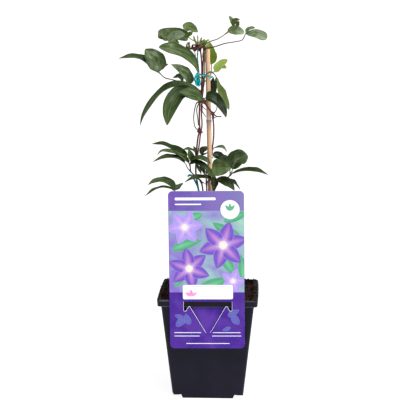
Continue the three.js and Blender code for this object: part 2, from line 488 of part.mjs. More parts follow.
function makeCard() {
  const half = CARD_WIDTH / 2;
  const outline = new THREE.Shape();
  outline.absarc(half - CARD_CORNER, CARD_BOTTOM + CARD_CORNER, CARD_CORNER, -Math.PI / 2, 0);
  outline.absarc(half - CARD_CORNER, CARD_TOP - CARD_CORNER, CARD_CORNER, 0, Math.PI / 2);
  outline.absarc(CARD_CORNER - half, CARD_TOP - CARD_CORNER, CARD_CORNER, Math.PI / 2, Math.PI);
  outline.absarc(CARD_CORNER - half, CARD_BOTTOM + CARD_CORNER, CARD_CORNER, Math.PI, 1.5 * Math.PI);

  // right half of the window: its top, the ear at its end, the rounded shoulder and the cut down to the root
  const side = [
    [SLOT_HALF_WIDTH, SLOT_TOP],
    [SLOT_HALF_WIDTH, EAR_BOTTOM + 1.6],
    [SLOT_HALF_WIDTH - 0.6, EAR_BOTTOM + 0.4],
    [SLOT_HALF_WIDTH - 1.8, EAR_BOTTOM],
    [SLOT_HALF_WIDTH - 3.1, EAR_BOTTOM + 1],
    [SHOULDER_HALF_WIDTH + 2.2, SHOULDER_TOP - 1.6],
    [SHOULDER_HALF_WIDTH + 1, SHOULDER_TOP - 0.3],
    [SHOULDER_HALF_WIDTH, SHOULDER_TOP],
    [SHOULDER_HALF_WIDTH - 0.8, SHOULDER_TOP - 0.6],
    [tongueHalf(TONGUE_ROOT) + TONGUE_CUT, TONGUE_ROOT],
  ];
  const window = new THREE.Path(
    [...side, ...side.map(([x, z]) => [-x, z]).reverse()].map(([x, z]) =>
      new THREE.Vector2(x + SLOT_MIDDLE, z)));
  outline.holes.push(window);

  const tongue = new THREE.Shape([
    [-tongueHalf(TONGUE_ROOT), TONGUE_ROOT - 1],
    [tongueHalf(TONGUE_ROOT), TONGUE_ROOT - 1],
    [tongueHalf(TONGUE_ROOT), TONGUE_ROOT],
    [tongueHalf(TONGUE_TOP), TONGUE_TOP],
    [-tongueHalf(TONGUE_TOP), TONGUE_TOP],
    [-tongueHalf(TONGUE_ROOT), TONGUE_ROOT],
  ].map(([x, z]) => new THREE.Vector2(x + SLOT_MIDDLE, z - TONGUE_ROOT)));
  const tonguePlate = cardPlate(tongue).rotateX(-TONGUE_LEAN).translate(0, 0, TONGUE_ROOT);
  const card = toGeometry(toSolid(cardPlate(outline)).add(toSolid(tonguePlate)));
  return card.translate(0, CARD_BACK, -SLOT_TOP).rotateY(-CARD_LEAN).translate(0, 0, SLOT_TOP);
}

// ---- Leafy stems ----------------------------------------------------------------------------------------
// Half width along a leaf, from 0 at its base and its tip to 1 at the place where it is widest.
function bladeOutline(t, name) {
  const [rise, fall] = BLADE_OUTLINES[name];
  const widest = rise / (rise + fall);
  return (t ** rise * (1 - t) ** fall) / (widest ** rise * (1 - widest) ** fall);
}

function blade(half, name, tiltDegrees, points, index) {
  const curve = new THREE.CatmullRomCurve3(points.map(sight), false, "centripetal");
  const chord = curve.getPoint(1).sub(curve.getPoint(0));
  const tilt = THREE.MathUtils.degToRad(tiltDegrees);
  const upright = Math.sign(VANTAGE.clone().sub(curve.getPoint(0)).cross(chord).z) || 1;
  const stations = BLADE_STATIONS.map((t) => {
    const middle = curve.getPointAt(t);
    const along = curve.getTangentAt(t);
    const view = VANTAGE.clone().sub(middle).normalize();
    const across = view.clone().cross(along).normalize().multiplyScalar(upright);
    const facing = view.addScaledVector(along, -view.dot(along)).normalize();
    const normal = facing.multiplyScalar(Math.cos(tilt)).addScaledVector(across, Math.sin(tilt)).normalize();
    const side = along.clone().cross(normal).normalize();
    const outline = bladeOutline(t, name);
    const reach = half * outline + BLADE_BLUNT;
    const wave = BLADE_WAVE * outline * Math.sin(9 * t + index);
    const lift = reach * Math.sin(BLADE_FOLD);
    const edge = (sign) => middle.clone()
      .addScaledVector(side, sign * reach * Math.cos(BLADE_FOLD))
      .addScaledVector(normal, lift + sign * wave);
    return { row: [edge(-1), middle, edge(1)], normal };
  });
  const rings = stations.map(({ row, normal }) => {
    const upper = row.map((p) => p.clone().addScaledVector(normal, BLADE_THICKNESS / 2));
    const lower = row.map((p) => p.clone().addScaledVector(normal, -BLADE_THICKNESS / 2));
    return [upper, lower];
  });
  return bladeSkin(rings);
}

// Both faces and the rim of a blade from its stations, with the same split of every cell on both faces.
function bladeSkin(rings) {
  const columns = rings[0][0].length;
  const positions = rings.flat(2).flatMap((p) => [p.x, p.y, p.z]);
  const at = (i, face, j) => (i * 2 + face) * columns + j;
  const triangles = [];
  const quad = (a, b, c, d) => triangles.push(a, b, c, a, c, d);
  for (let i = 0; i + 1 < rings.length; i++) {
    for (let j = 0; j + 1 < columns; j++) {
      quad(at(i, 0, j), at(i, 0, j + 1), at(i + 1, 0, j + 1), at(i + 1, 0, j));
      const [a, b, c, d] = [at(i, 1, j), at(i, 1, j + 1), at(i + 1, 1, j + 1), at(i + 1, 1, j)];
      triangles.push(a, c, b, a, d, c);
    }
    quad(at(i, 1, 0), at(i, 0, 0), at(i + 1, 0, 0), at(i + 1, 1, 0));
    const last = columns - 1;
    quad(at(i, 0, last), at(i, 1, last), at(i + 1, 1, last), at(i + 1, 0, last));
  }
  const end = rings.length - 1;
  for (let j = 0; j + 1 < columns; j++) {
    quad(at(0, 1, j), at(0, 1, j + 1), at(0, 0, j + 1), at(0, 0, j));
    quad(at(end, 0, j), at(end, 0, j + 1), at(end, 1, j + 1), at(end, 1, j));
  }
  const geometry = new THREE.BufferGeometry();
  geometry.setAttribute("position", new THREE.Float32BufferAttribute(positions, 3));
  geometry.setIndex(triangles);
  return geometry;
}

function makeStem([first, last, points], index) {
  const isMain = index === 0;
  const steps = isMain ? Math.round(1.6 * points.length) : points.length + 1;
  return tube(points.map(sight), first, last, isMain ? STEM_SIDES : PETIOLE_SIDES, steps);
}

function makeVine({ stems, leaves }) {
  return fuse([
    ...stems.map((stem, index) => toSolid(makeStem(stem, index))),
    ...leaves.map(([half, name, tilt, points], index) => toSolid(blade(half, name, tilt, points, index))),
  ]);
}

function vineHole({ stems }) {
  const [first, last, points] = stems[0];
  const buried = points.slice(0, 3).map(sight);
  buried[0].z -= CLEARANCE;
  return toSolid(tube(buried, first + 1.2, last + 1.2, STEM_SIDES, 4));
}

// ---- Ties -----------------------------------------------------------------------------------------------
function makeTie({ ring, strands }) {
  const [x, y, z] = ring.middle;
  const around = [];
  for (let i = 0; i < 12; i++) {
    const angle = (2 * Math.PI * i) / 12;
    const dx = ring.halves[0] * Math.cos(angle);
    around.push(new THREE.Vector3(x + dx, y + ring.halves[1] * Math.sin(angle), z + ring.rise * dx));
  }
  return fuse([
    toSolid(tube(around, TIE_RING_RADIUS, TIE_RING_RADIUS, TIE_SIDES, TIE_RING_STEPS, true)),
    ...strands.map(([radius, points]) =>
      toSolid(tube(points.map(sight), radius, radius, TIE_SIDES, 2 * points.length))),
  ]);
}

// ---- Assembly -------------------------------------------------------------------------------------------
function piece(name, geometry, color, roughness) {
  const mesh = new THREE.Mesh(geometry, new THREE.MeshStandardMaterial({ color, roughness, metalness: 0 }));
  mesh.name = name;
  return mesh;
}

const plant = new THREE.Group();
plant.add(piece("pot", toGeometry(makePot()), 0x23222e, 0.45));
const soilHoles = [caneHole(), ...Object.values(VINES).map(vineHole)];
plant.add(piece("soil", toGeometry(makeSoil(soilHoles)), 0x1d1611, 0.95));
plant.add(standAsCane(piece("cane", caneProfile(CANE_RADIUS, CANE_NODES), 0xe0b98c, 0.6)));
plant.add(piece("card", makeCard(), 0x6a4cc0, 0.35));
for (const [name, tie] of Object.entries(TIES)) {
  plant.add(piece(name, toGeometry(makeTie(tie)), 0x12bdc6, 0.5));
}
for (const [name, vine] of Object.entries(VINES)) {
  plant.add(piece(name, toGeometry(makeVine(vine)), 0x3c5230, 0.5));
}

export default plant;
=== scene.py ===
"""Looks for a young climbing clematis in a square pot, tied to a bamboo cane, with a plant card on the lip.

Sizes are in millimetres, as they are measured on the plant, and become metres where a mesh is made.
"""

import math

import bmesh
import bpy
import numpy as np
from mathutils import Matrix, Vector, noise


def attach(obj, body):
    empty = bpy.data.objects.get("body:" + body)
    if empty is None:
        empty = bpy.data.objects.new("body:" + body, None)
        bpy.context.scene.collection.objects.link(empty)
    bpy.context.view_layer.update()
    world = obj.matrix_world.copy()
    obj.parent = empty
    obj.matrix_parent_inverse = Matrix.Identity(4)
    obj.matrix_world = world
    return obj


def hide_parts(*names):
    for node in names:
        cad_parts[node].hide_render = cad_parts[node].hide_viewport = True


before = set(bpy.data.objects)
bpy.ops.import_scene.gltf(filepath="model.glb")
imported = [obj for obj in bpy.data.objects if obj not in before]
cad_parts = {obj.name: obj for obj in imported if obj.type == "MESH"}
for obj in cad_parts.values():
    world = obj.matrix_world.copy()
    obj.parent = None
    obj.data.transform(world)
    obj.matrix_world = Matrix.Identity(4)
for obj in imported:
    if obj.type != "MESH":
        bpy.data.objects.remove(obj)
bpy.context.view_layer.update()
MM = 0.001

# ---- Camera, floor and light ---------------------------------------------------------------------
VANTAGE = np.array([66.0, -1600.0, 505.0])
CAMERA_YAW = math.radians(2.42)
CAMERA_PITCH = math.radians(9.31)
PICTURE_WIDTH = 416
FOCAL_LENGTH_IN_PIXELS = 1246
FLOOR_REACH = 60  # metres
FLOOR_LEVEL = -0.2
SKY_LOW, SKY_HIGH = (1.1, 1.1, 1.1, 1), (0.3, 0.31, 0.33, 1)  # light from the horizon and from above
SKY_FADE = (0.05, 0.3)  # how steep a direction is where the one passes into the other


def add_object(name, data):
    made = bpy.data.objects.new(name, data)
    bpy.context.scene.collection.objects.link(made)
    return made


def set_camera():
    data = bpy.data.cameras.new("camera")
    data.sensor_width = 36
    data.lens = data.sensor_width * FOCAL_LENGTH_IN_PIXELS / PICTURE_WIDTH
    data.clip_end = 200
    camera = add_object("camera", data)
    camera.location = VANTAGE * MM
    camera.rotation_euler = (math.pi / 2 - CAMERA_PITCH, 0, CAMERA_YAW)
    bpy.context.scene.camera = camera


def set_lights():
    scene = bpy.context.scene
    scene.view_settings.view_transform = "Standard"
    scene.view_settings.look = "None"
    world = bpy.data.worlds.new("studio")
    world.use_nodes = True
    nodes, links = world.node_tree.nodes, world.node_tree.links
    background = nodes["Background"]
    kinds = ("TexCoord", "SeparateXYZ", "MapRange", "Mix")
    direction, split, height, tint = (nodes.new("ShaderNode" + kind) for kind in kinds)
    links.new(direction.outputs["Generated"], split.inputs[0])
    links.new(split.outputs["Z"], height.inputs["Value"])
    height.inputs["From Min"].default_value, height.inputs["From Max"].default_value = SKY_FADE
    tint.data_type = "RGBA"
    links.new(height.outputs[0], tint.inputs[0])
    tint.inputs[6].default_value, tint.inputs[7].default_value = SKY_LOW, SKY_HIGH
    links.new(tint.outputs[2], background.inputs["Color"])
    scene.world = world

    def lamp(name, kind, energy, place, target, **values):
        data = bpy.data.lights.new(name, kind)
        data.energy = energy
        for key, value in values.items():
            setattr(data, key, value)
        made = add_object(name, data)
        made.location = place
        aim = Vector(target) - Vector(place)
        made.rotation_euler = aim.to_track_quat("-Z", "Y").to_euler()

    lamp("sky_window", "SUN", 2.9, (1.5, -1.3, 3), (0, 0, 0.2), angle=math.radians(50))
    lamp("top_softbox", "AREA", 7, (0.35, -0.5, 1.7), (0, 0, 0.3), shape="RECTANGLE", size=1.3, size_y=1.0)
    lamp("side_softbox", "AREA", 3.4, (1.5, -0.7, 0.7), (0, 0, 0.25), shape="RECTANGLE", size=0.7, size_y=1.3)


# ---- Mesh helpers --------------------------------------------------------------------------------
LINE_STEPS = 20  # from one given point of a smooth line to the next


def smooth_line(points, closed=False):
    """A centripetal Catmull-Rom line: many close points, each one's share of the length, and the length."""
    given = [np.asarray(p, float) for p in points]
    count = len(given)
    line = []
    for i in range(count if closed else count - 1):
        p1, p2 = given[i], given[(i + 1) % count]
        p0 = given[i - 1] if closed or i else 2 * p1 - p2
        p3 = given[(i + 2) % count] if closed or i + 2 < count else 2 * p2 - p1
        d0, d1, d2 = (max(np.sum((b - a) ** 2) ** 0.25, 1e-4) for a, b in ((p0, p1), (p1, p2), (p2, p3)))
        start = ((p1 - p0) / d0 - (p2 - p0) / (d0 + d1) + (p2 - p1) / d1) * d1
        end = ((p2 - p1) / d1 - (p3 - p1) / (d1 + d2) + (p3 - p2) / d2) * d1
        t = np.linspace(0, 1, LINE_STEPS, endpoint=False)[:, None]
        square, cube = 3 * (p2 - p1) - 2 * start - end, 2 * (p1 - p2) + start + end
        line.append(p1 + start * t + square * t**2 + cube * t**3)
    line.append(given[:1] if closed else given[-1:])
    line = np.concatenate(line)
    lengths = np.concatenate([[0], np.cumsum(np.linalg.norm(np.diff(line, axis=0), axis=1))])
    return line, lengths / lengths[-1], lengths[-1]


def along_line(points, shares, closed=False):
    """Places and unit tangents at the given shares of a smooth line's length."""
    line, at, _ = smooth_line(points, closed)

    def place(where):
        return np.stack([np.interp(where, at, line[:, k]) for k in range(3)], -1)

    step = 0.004
    ahead, behind = place(np.minimum(shares + step, 1)), place(np.maximum(shares - step, 0))
    return place(shares), unit(ahead - behind)


def unit(vectors):
    return vectors / np.maximum(np.linalg.norm(vectors, axis=-1, keepdims=True), 1e-12)


def make_piece(name, corners, faces, looks, picks=None, smooth=True):
    """A mesh object from corners in millimetres. picks gives each face's place in looks."""
    mesh = bpy.data.meshes.new(name)
    corners = [tuple(c) for c in np.asarray(corners, float) * MM]
    mesh.from_pydata(corners, [], [tuple(map(int, f)) for f in faces])
    for look in looks:
        mesh.materials.append(look)
    if picks is not None:
        mesh.polygons.foreach_set("material_index", np.asarray(picks, np.int32))
    mesh.polygons.foreach_set("use_smooth", [smooth] * len(mesh.polygons))
    mesh.update()
    return add_object(name, mesh)


def plain_mesh(piece):
    """Applies whatever modifiers the piece has."""
    bpy.context.view_layer.update()
    graph = bpy.context.evaluated_depsgraph_get()
    ready = piece.evaluated_get(graph)
    mesh = bpy.data.meshes.new_from_object(ready, preserve_all_data_layers=True, depsgraph=graph)
    old = piece.data
    piece.modifiers.clear()
    piece.data = mesh
    mesh.name = piece.name
    bpy.data.meshes.remove(old)


def carve(piece, tool, operation="DIFFERENCE"):
    cut = piece.modifiers.new("cut", "BOOLEAN")
    cut.operation = operation
    cut.object = tool
    cut.solver = "EXACT"
    plain_mesh(piece)
    bpy.data.objects.remove(tool)


def join(pieces):
    bpy.ops.object.select_all(action="DESELECT")
    for piece in pieces:
        piece.select_set(True)
    bpy.context.view_layer.objects.active = pieces[0]
    bpy.ops.object.join()
    return pieces[0]


def turn_outward(shape):
    """Make the faces of a closed shape point out of it, also on a thin plate with a hole."""
    bmesh.ops.recalc_face_normals(shape, faces=shape.faces)
    if shape.calc_volume(signed=True) < 0:
        bmesh.ops.reverse_faces(shape, faces=shape.faces)
    shape.normal_update()


def sharpen(piece, degrees):
    piece.data.set_sharp_from_angle(angle=math.radians(degrees))
    return piece


def loft_faces(rings, count, closed=False, caps=True):
    faces = []
    for i in range(rings if closed else rings - 1):
        here, there = i * count, (i + 1) % rings * count
        faces += [(here + j, here + (j + 1) % count, there + (j + 1) % count, there + j)
                  for j in range(count)]
    if caps and not closed:
        faces.append(tuple(range(count))[::-1])
        faces.append(tuple(range((rings - 1) * count, rings * count)))
    return faces


def loft(name, rings, look, closed=False):
    rings = [np.asarray(r, float) for r in rings]
    return make_piece(name, np.concatenate(rings), loft_faces(len(rings), len(rings[0]), closed), [look])


def finish_piece(piece, slot, *nodes):
    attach(piece, "root")
    if nodes:
        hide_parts(*nodes)


# ---- Material helpers ----------------------------------------------------------------------------
class Finish:
    """A material whose nodes are added and linked by name."""

    def __init__(self, name, **surface):
        self.material = bpy.data.materials.new(name)
        self.material.use_nodes = True
        self.tree = self.material.node_tree
        self.surface = self.tree.nodes["Principled BSDF"]
        self.set(self.surface, surface)
        self.object_place = self.node("TexCoord").outputs["Object"]

    def set(self, made, values):
        for name, value in values.items():
            socket = made.inputs[name.replace("_", " ")] if isinstance(name, str) else made.inputs[name]
            if isinstance(value, bpy.types.NodeSocket):
                self.tree.links.new(value, socket)
            elif isinstance(value, tuple) and socket.type == "RGBA" and len(value) == 3:
                socket.default_value = (*value, 1)
            else:
                socket.default_value = value

    def node(self, kind, settings=None, **inputs):
        made = self.tree.nodes.new("ShaderNode" + kind)
        for name, value in (settings or {}).items():
            setattr(made, name, value)
        self.set(made, inputs)
        return made

    def paint(self, **surface):
        self.set(self.surface, surface)
        return self.material

    def place(self, stretch, shift=(0, 0, 0), where=None):
        """Where a texture is read: in the object's own coordinates, or in others."""
        where = self.object_place if where is None else where
        return self.node("Mapping", Vector=where, Scale=stretch, Location=shift).outputs[0]

    def noise(self, scale, detail, roughness=0.55, where=None, distortion=0.0):
        where = self.object_place if where is None else where
        made = self.node("TexNoise", Vector=where, Scale=scale, Detail=detail, Roughness=roughness,
                         Distortion=distortion)
        return made.outputs["Fac"]

    def cells(self, scale, feature="F1"):
        made = self.node("TexVoronoi", {"feature": feature}, Vector=self.object_place, Scale=scale)
        return made.outputs["Distance"]

    def attribute(self, name):
        return self.node("Attribute", {"attribute_name": name}).outputs["Fac"]

    def ramp(self, factor, *stops):
        made = self.node("ValToRGB", Fac=factor)
        points = made.color_ramp.elements
        while len(points) < len(stops):
            points.new(0.5)
        for point, (at, value) in zip(points, stops):
            point.position = at
            point.color = (*value, 1)
        return made.outputs["Color"]

    def math(self, operation, a, b=0.0, clamp=False):
        made = self.node("Math", {"operation": operation, "use_clamp": clamp})
        self.set(made, {0: a, 1: b})
        return made.outputs[0]

    def plus(self, a, b):
        return self.math("ADD", a, b)

    def times(self, a, b):
        return self.math("MULTIPLY", a, b)

    def apart(self, a, b):
        return self.math("ABSOLUTE", self.math("SUBTRACT", a, b))

    def span(self, value, low, high, to_low=0.0, to_high=1.0):
        made = self.node("MapRange", {"clamp": True}, Value=value)
        self.set(made, {1: low, 2: high, 3: to_low, 4: to_high})
        return made.outputs[0]

    def mix(self, factor, a, b, blend="MIX"):
        made = self.node("Mix", {"data_type": "RGBA", "blend_type": blend})
        self.set(made, {0: factor, 6: a, 7: b})
        return made.outputs[2]

    def parts(self, vector):
        return self.node("SeparateXYZ", Vector=vector).outputs

    def along_and_side(self, uv):
        """The share of a leaf's length, and the distance from its middle line, which is 1 at the edge."""
        along, across, _ = self.parts(uv)
        return along, self.apart(self.times(across, 2), 1)

    def bump(self, height, strength, distance):
        return self.node("Bump", Height=height, Strength=strength, Distance=distance * MM).outputs["Normal"]


# ---- Pot -----------------------------------------------------------------------------------------
POT_HEIGHT = 134
RIM_WIDTH = 129.4
FOOT_WIDTH = 91.2
WALL_TOP_WIDTH = 118.8
WALL = 1.2
CORNER_RADIUS = 6
WALL_CORNER_RADIUS = 5
ARC_STEPS, SIDE_STEPS = 12, 20  # round each corner, and along each side
LIP_HEIGHT = 8.5
LIP_TAPER = 1.2
BULGE = 0.8
FLOOR = 1.6
FOOT_RAISE = 6
FOOT_ARM_WIDTH = 65
FOOT_SLOPE = 2.4
DRAIN_RADIUS = 4.5
DRAIN_OFFSET = 36
DRAIN_CUT = (-10, 25)  # the heights that a drainage hole's cut passes
MOUTH_INSET = 0.4  # from the wall's inner side to the lip's inner edge
CLEARANCE = 0.3


def rounded_square(half, radius, bulge, z):
    ring = []
    for quarter in range(4):
        turn = quarter * math.pi / 2
        flat = []
        for i in range(ARC_STEPS + 1):
            angle = -math.pi / 2 + i / ARC_STEPS * math.pi / 2
            flat.append((half - radius + radius * math.cos(angle), -half + radius + radius * math.sin(angle)))
        for i in range(1, SIDE_STEPS):
            share = -1 + 2 * i / SIDE_STEPS
            flat.append((half + bulge * (1 - share * share), share * (half - radius)))
        c, s = math.cos(turn), math.sin(turn)
        ring += [(x * c - y * s, x * s + y * c, z) for x, y in flat]
    return ring


def wall_half(z):
    return (FOOT_WIDTH + (WALL_TOP_WIDTH - FOOT_WIDTH) * z / (POT_HEIGHT - LIP_HEIGHT)) / 2


def wall_ring(z, inset):
    return rounded_square(wall_half(z) - inset, WALL_CORNER_RADIUS - inset, BULGE * (z / POT_HEIGHT) ** 2, z)


def corner_blocks(top, grow, look):
    """What is left out under the floor's four raised corners."""
    blocks = []
    inner, outer = FOOT_ARM_WIDTH / 2 - grow, FOOT_WIDTH
    for sx, sy in ((1, 1), (-1, 1), (-1, -1), (1, -1)):
        rings = []
        for reach, z in ((inner - FOOT_SLOPE, -top), (inner + FOOT_SLOPE, top)):
            square = [(reach, reach), (outer, reach), (outer, outer), (reach, outer)]
            ring = [(sx * x, sy * y, z) for x, y in square]
            rings.append(ring if sx * sy > 0 else ring[::-1])
        blocks.append(loft("corner_block", rings, look))
    return blocks


def pot_room(gap, look):
    heights = [FLOOR + gap, *np.linspace(20, POT_HEIGHT, 8), POT_HEIGHT + 5]
    room = loft("pot_room", [wall_ring(z, WALL + gap) for z in heights], look)
    for block in corner_blocks(FOOT_RAISE + FLOOR + gap, gap + WALL, look):
        carve(room, block)
    return room


def pot_plastic_finish():
    look = Finish("pot_plastic", IOR=1.45, Specular_IOR_Level=0.18)
    blotches = look.noise(28, 3)
    scuffs = look.noise(1, 5, 0.7, look.place((260, 260, 30)))
    colour = look.mix(look.span(blotches, 0.35, 0.7), (0.0038, 0.0034, 0.0108), (0.0068, 0.0062, 0.0172))
    colour = look.mix(look.span(scuffs, 0.62, 0.8, 0, 0.35), colour, (0.026, 0.025, 0.036))
    x, y, z = look.parts(look.object_place)
    outwards = look.math("MAXIMUM", look.math("ABSOLUTE", x), look.math("ABSOLUTE", y))
    # Painted highlight: a paler grey line along the lip's outer top edge and along its lower edge, patchy
    # with the blotches.
    ledges = [look.span(look.apart(z, height * MM), 0.0004, 0.0011, 1, 0)
              for height in (POT_HEIGHT - 0.6, POT_HEIGHT - LIP_HEIGHT + 0.1)]
    rim_highlight = look.times(look.math("MAXIMUM", *ledges), look.span(blotches, 0.35, 0.6, 0.35, 1))
    highlight_from, highlight_to = ((RIM_WIDTH / 2 - inset) * MM for inset in (1.9, 1.1))
    rim_highlight = look.times(rim_highlight, look.span(outwards, highlight_from, highlight_to, 0, 0.75))
    colour = look.mix(rim_highlight, colour, (0.1, 0.095, 0.12))
    grain = look.noise(1400, 2)
    return look.paint(
        Base_Color=colour,
        Roughness=look.span(scuffs, 0.3, 0.75, 0.36, 0.52),
        Normal=look.bump(look.plus(look.times(grain, 0.25), blotches), 0.35, 0.25),
    )


def make_pot(look):
    rim = RIM_WIDTH / 2
    lip_bottom = POT_HEIGHT - LIP_HEIGHT
    inside = wall_half(POT_HEIGHT) - WALL - MOUTH_INSET
    heights = (0, *np.linspace(10, 126, 14), POT_HEIGHT - WALL / 2)
    pot = loft("pot_shell", [wall_ring(z, 0) for z in heights], look)
    for block in corner_blocks(FOOT_RAISE, 0, look):
        carve(pot, block)
    # the lip's section: up its outer side, over its top and down inside its skirt
    profile = [(rim - LIP_TAPER, lip_bottom), (rim - LIP_TAPER + 0.25, lip_bottom + 0.1),
               (rim - 0.85, lip_bottom + 4), (rim - 0.38, POT_HEIGHT - 1.2), (rim - 0.5, POT_HEIGHT - 0.6),
               (rim - 0.85, POT_HEIGHT - 0.18), (rim - 1.35, POT_HEIGHT), (inside + 0.5, POT_HEIGHT),
               (inside + 0.12, POT_HEIGHT - 0.12), (inside, POT_HEIGHT - 0.4), (inside, POT_HEIGHT - WALL),
               (rim - WALL - 0.4, POT_HEIGHT - WALL), (rim - WALL - LIP_TAPER, lip_bottom + 0.15),
               (rim - WALL - LIP_TAPER + 0.3, lip_bottom)]
    rings = [rounded_square(half, CORNER_RADIUS, BULGE, z) for half, z in profile]
    carve(pot, loft("lip", rings, look, closed=True), "UNION")
    carve(pot, pot_room(0, look))
    circle = [(DRAIN_RADIUS * math.cos(a), DRAIN_RADIUS * math.sin(a))
              for a in np.linspace(0, 2 * math.pi, 24, endpoint=False)]
    for at_x in (-DRAIN_OFFSET, DRAIN_OFFSET):
        for at_y in (-DRAIN_OFFSET, DRAIN_OFFSET):
            rings = [[(at_x + x, at_y + y, z) for x, y in circle] for z in DRAIN_CUT]
            carve(pot, loft("drain", rings, look))
    return sharpen(pot, 30)


# ---- Soil ----------------------------------------------------------------------------------------
SOIL_LEVEL = 129
SOIL_HEIGHTS = (9.4, 40, 80, 115, 124)  # of the rings beside the wall
SOIL_RINGS = 70
CRUMB_RINGS = 40
CHIP_SPREAD = {"Chips per square metre": 150000.0, "Smallest": 0.6, "Largest": 2.0, "Seed": 7}
CHIP_SLOPE = 0.25  # chips lie where the upward part of a face's normal is more than this


def soil_height(x, y):
    crumbs = math.sin(x * 0.31 + 1.3) * math.cos(y * 0.27) + 0.7 * math.sin(x * 0.13 - y * 0.19 + 0.6)
    fine = noise.fractal(Vector((x * 0.16, y * 0.16, 3.1)), 1, 2, 5)
    chunky = noise.noise(Vector((x * 0.45, y * 0.45, 8.7)))
    return SOIL_LEVEL + 0.96 * crumbs + 0.9 * fine + 0.8 * chunky


def ground_rings(inset, shares, top=math.inf):
    """Rings on the compost's uneven top, from beside the wall inwards."""
    edge = wall_ring(SOIL_LEVEL, inset)
    flat = [[(x * share, y * share) for x, y, _ in edge] for share in shares]
    return [[(x, y, min(soil_height(x, y), top)) for x, y in ring] for ring in flat]


def soil_finish():
    look = Finish("moist_compost", Specular_IOR_Level=0.08)
    clods, specks, bits = look.noise(170, 6, 0.75), look.noise(420, 3, 0.6), look.cells(330)
    colour = look.mix(look.span(clods, 0.3, 0.7), (0.0006, 0.0005, 0.0005), (0.009, 0.005, 0.004))
    colour = look.mix(look.span(specks, 0.58, 0.66), colour, (0.11, 0.035, 0.016))
    colour = look.mix(look.span(bits, 0.0, 0.12, 0.5, 0), colour, (0.06, 0.045, 0.035))
    return look.paint(
        Base_Color=colour,
        Roughness=look.span(clods, 0.2, 0.8, 0.65, 0.98),
        Normal=look.bump(look.plus(clods, look.times(specks, 0.4)), 0.9, 1.2),
    )


def make_soil(look):
    inset = WALL + CLEARANCE
    rings = [wall_ring(z, inset) for z in SOIL_HEIGHTS]
    rings += ground_rings(inset, [1 - (i / SOIL_RINGS) ** 0.9 for i in range(SOIL_RINGS)], POT_HEIGHT - 1)
    return loft("soil_bed", rings, look)


def new_tree(name, entries):
    """A tree that takes and gives a geometry, with further inputs by name and kind."""
    tree = bpy.data.node_groups.new(name, "GeometryNodeTree")
    for entry, kind in {"Geometry": "Geometry", **entries}.items():
        tree.interface.new_socket(entry, in_out="INPUT", socket_type="NodeSocket" + kind)
    tree.interface.new_socket("Geometry", in_out="OUTPUT", socket_type="NodeSocketGeometry")
    return tree


def crumb_tree(chips):
    """Points over the upward faces, each with a chip of random size and turn."""
    tree = new_tree("scattered_chips", {"Chips per square metre": "Float", "Smallest": "Float",
                                        "Largest": "Float", "Seed": "Int"})
    add, link = tree.nodes.new, tree.links.new
    given, result = add("NodeGroupInput"), add("NodeGroupOutput")
    normal, split = add("GeometryNodeInputNormal"), add("ShaderNodeSeparateXYZ")
    is_up = add("FunctionNodeCompare")
    link(normal.outputs["Normal"], split.inputs[0])
    link(split.outputs["Z"], is_up.inputs[0])
    is_up.inputs[1].default_value = CHIP_SLOPE
    spread = add("GeometryNodeDistributePointsOnFaces")
    link(given.outputs["Geometry"], spread.inputs["Mesh"])
    link(is_up.outputs[0], spread.inputs["Selection"])
    link(given.outputs["Chips per square metre"], spread.inputs["Density"])
    link(given.outputs["Seed"], spread.inputs["Seed"])
    place = add("GeometryNodeInstanceOnPoints")
    link(spread.outputs["Points"], place.inputs["Points"])
    gather = add("GeometryNodeJoinGeometry")
    for chip in reversed(chips):
        source = add("GeometryNodeObjectInfo")
        source.inputs["Object"].default_value = chip
        source.inputs["As Instance"].default_value = True
        link(source.outputs["Geometry"], gather.inputs[0])
    link(gather.outputs[0], place.inputs["Instance"])
    place.inputs["Pick Instance"].default_value = True
    turn, size = add("FunctionNodeRandomValue"), add("FunctionNodeRandomValue")
    turn.data_type, size.data_type = "FLOAT_VECTOR", "FLOAT"
    turn.inputs[1].default_value = (math.tau,) * 3
    turn.inputs["Seed"].default_value = 3
    size.inputs["Seed"].default_value = 5
    link(given.outputs["Smallest"], size.inputs[2])
    link(given.outputs["Largest"], size.inputs[3])
    link(turn.outputs[0], place.inputs["Rotation"])
    link(size.outputs[1], place.inputs["Scale"])
    realize = add("GeometryNodeRealizeInstances")
    link(place.outputs[0], realize.inputs[0])
    link(realize.outputs[0], result.inputs[0])
    return tree


def run_tree(piece, tree, **values):
    """Runs a node tree on a piece and keeps the result as its plain mesh."""
    made = piece.modifiers.new(tree.name, "NODES")
    made.node_group = tree
    sockets = {i.name: i.identifier for i in tree.interface.items_tree if i.in_out == "INPUT"}
    for name, value in values.items():
        made[sockets[name]] = value
    plain_mesh(piece)


def make_chip(size, look, seed):
    """A small rough lump of 20 faces. It stays out of the scene, and only its instances come in."""
    mesh = bpy.data.meshes.new("chip")
    lump = bmesh.new()
    bmesh.ops.create_icosphere(lump, subdivisions=1, radius=1)
    for corner in lump.verts:
        rough = 1 + 0.45 * noise.noise(corner.co * 1.7 + Vector((seed, 0, 0)))
        corner.co = Vector(a * b * rough * MM for a, b in zip(corner.co, size))
    lump.to_mesh(mesh)
    lump.free()
    mesh.materials.append(look)
    return bpy.data.objects.new("chip", mesh)


def bark_chip_finish(name, dark, pale):
    look = Finish(name, Specular_IOR_Level=0.1)
    grain = look.noise(700, 4, 0.7)
    return look.paint(
        Base_Color=look.mix(look.span(grain, 0.3, 0.7), dark, pale),
        Roughness=look.span(grain, 0.2, 0.8, 0.6, 0.95),
        Normal=look.bump(grain, 0.6, 0.3),
    )


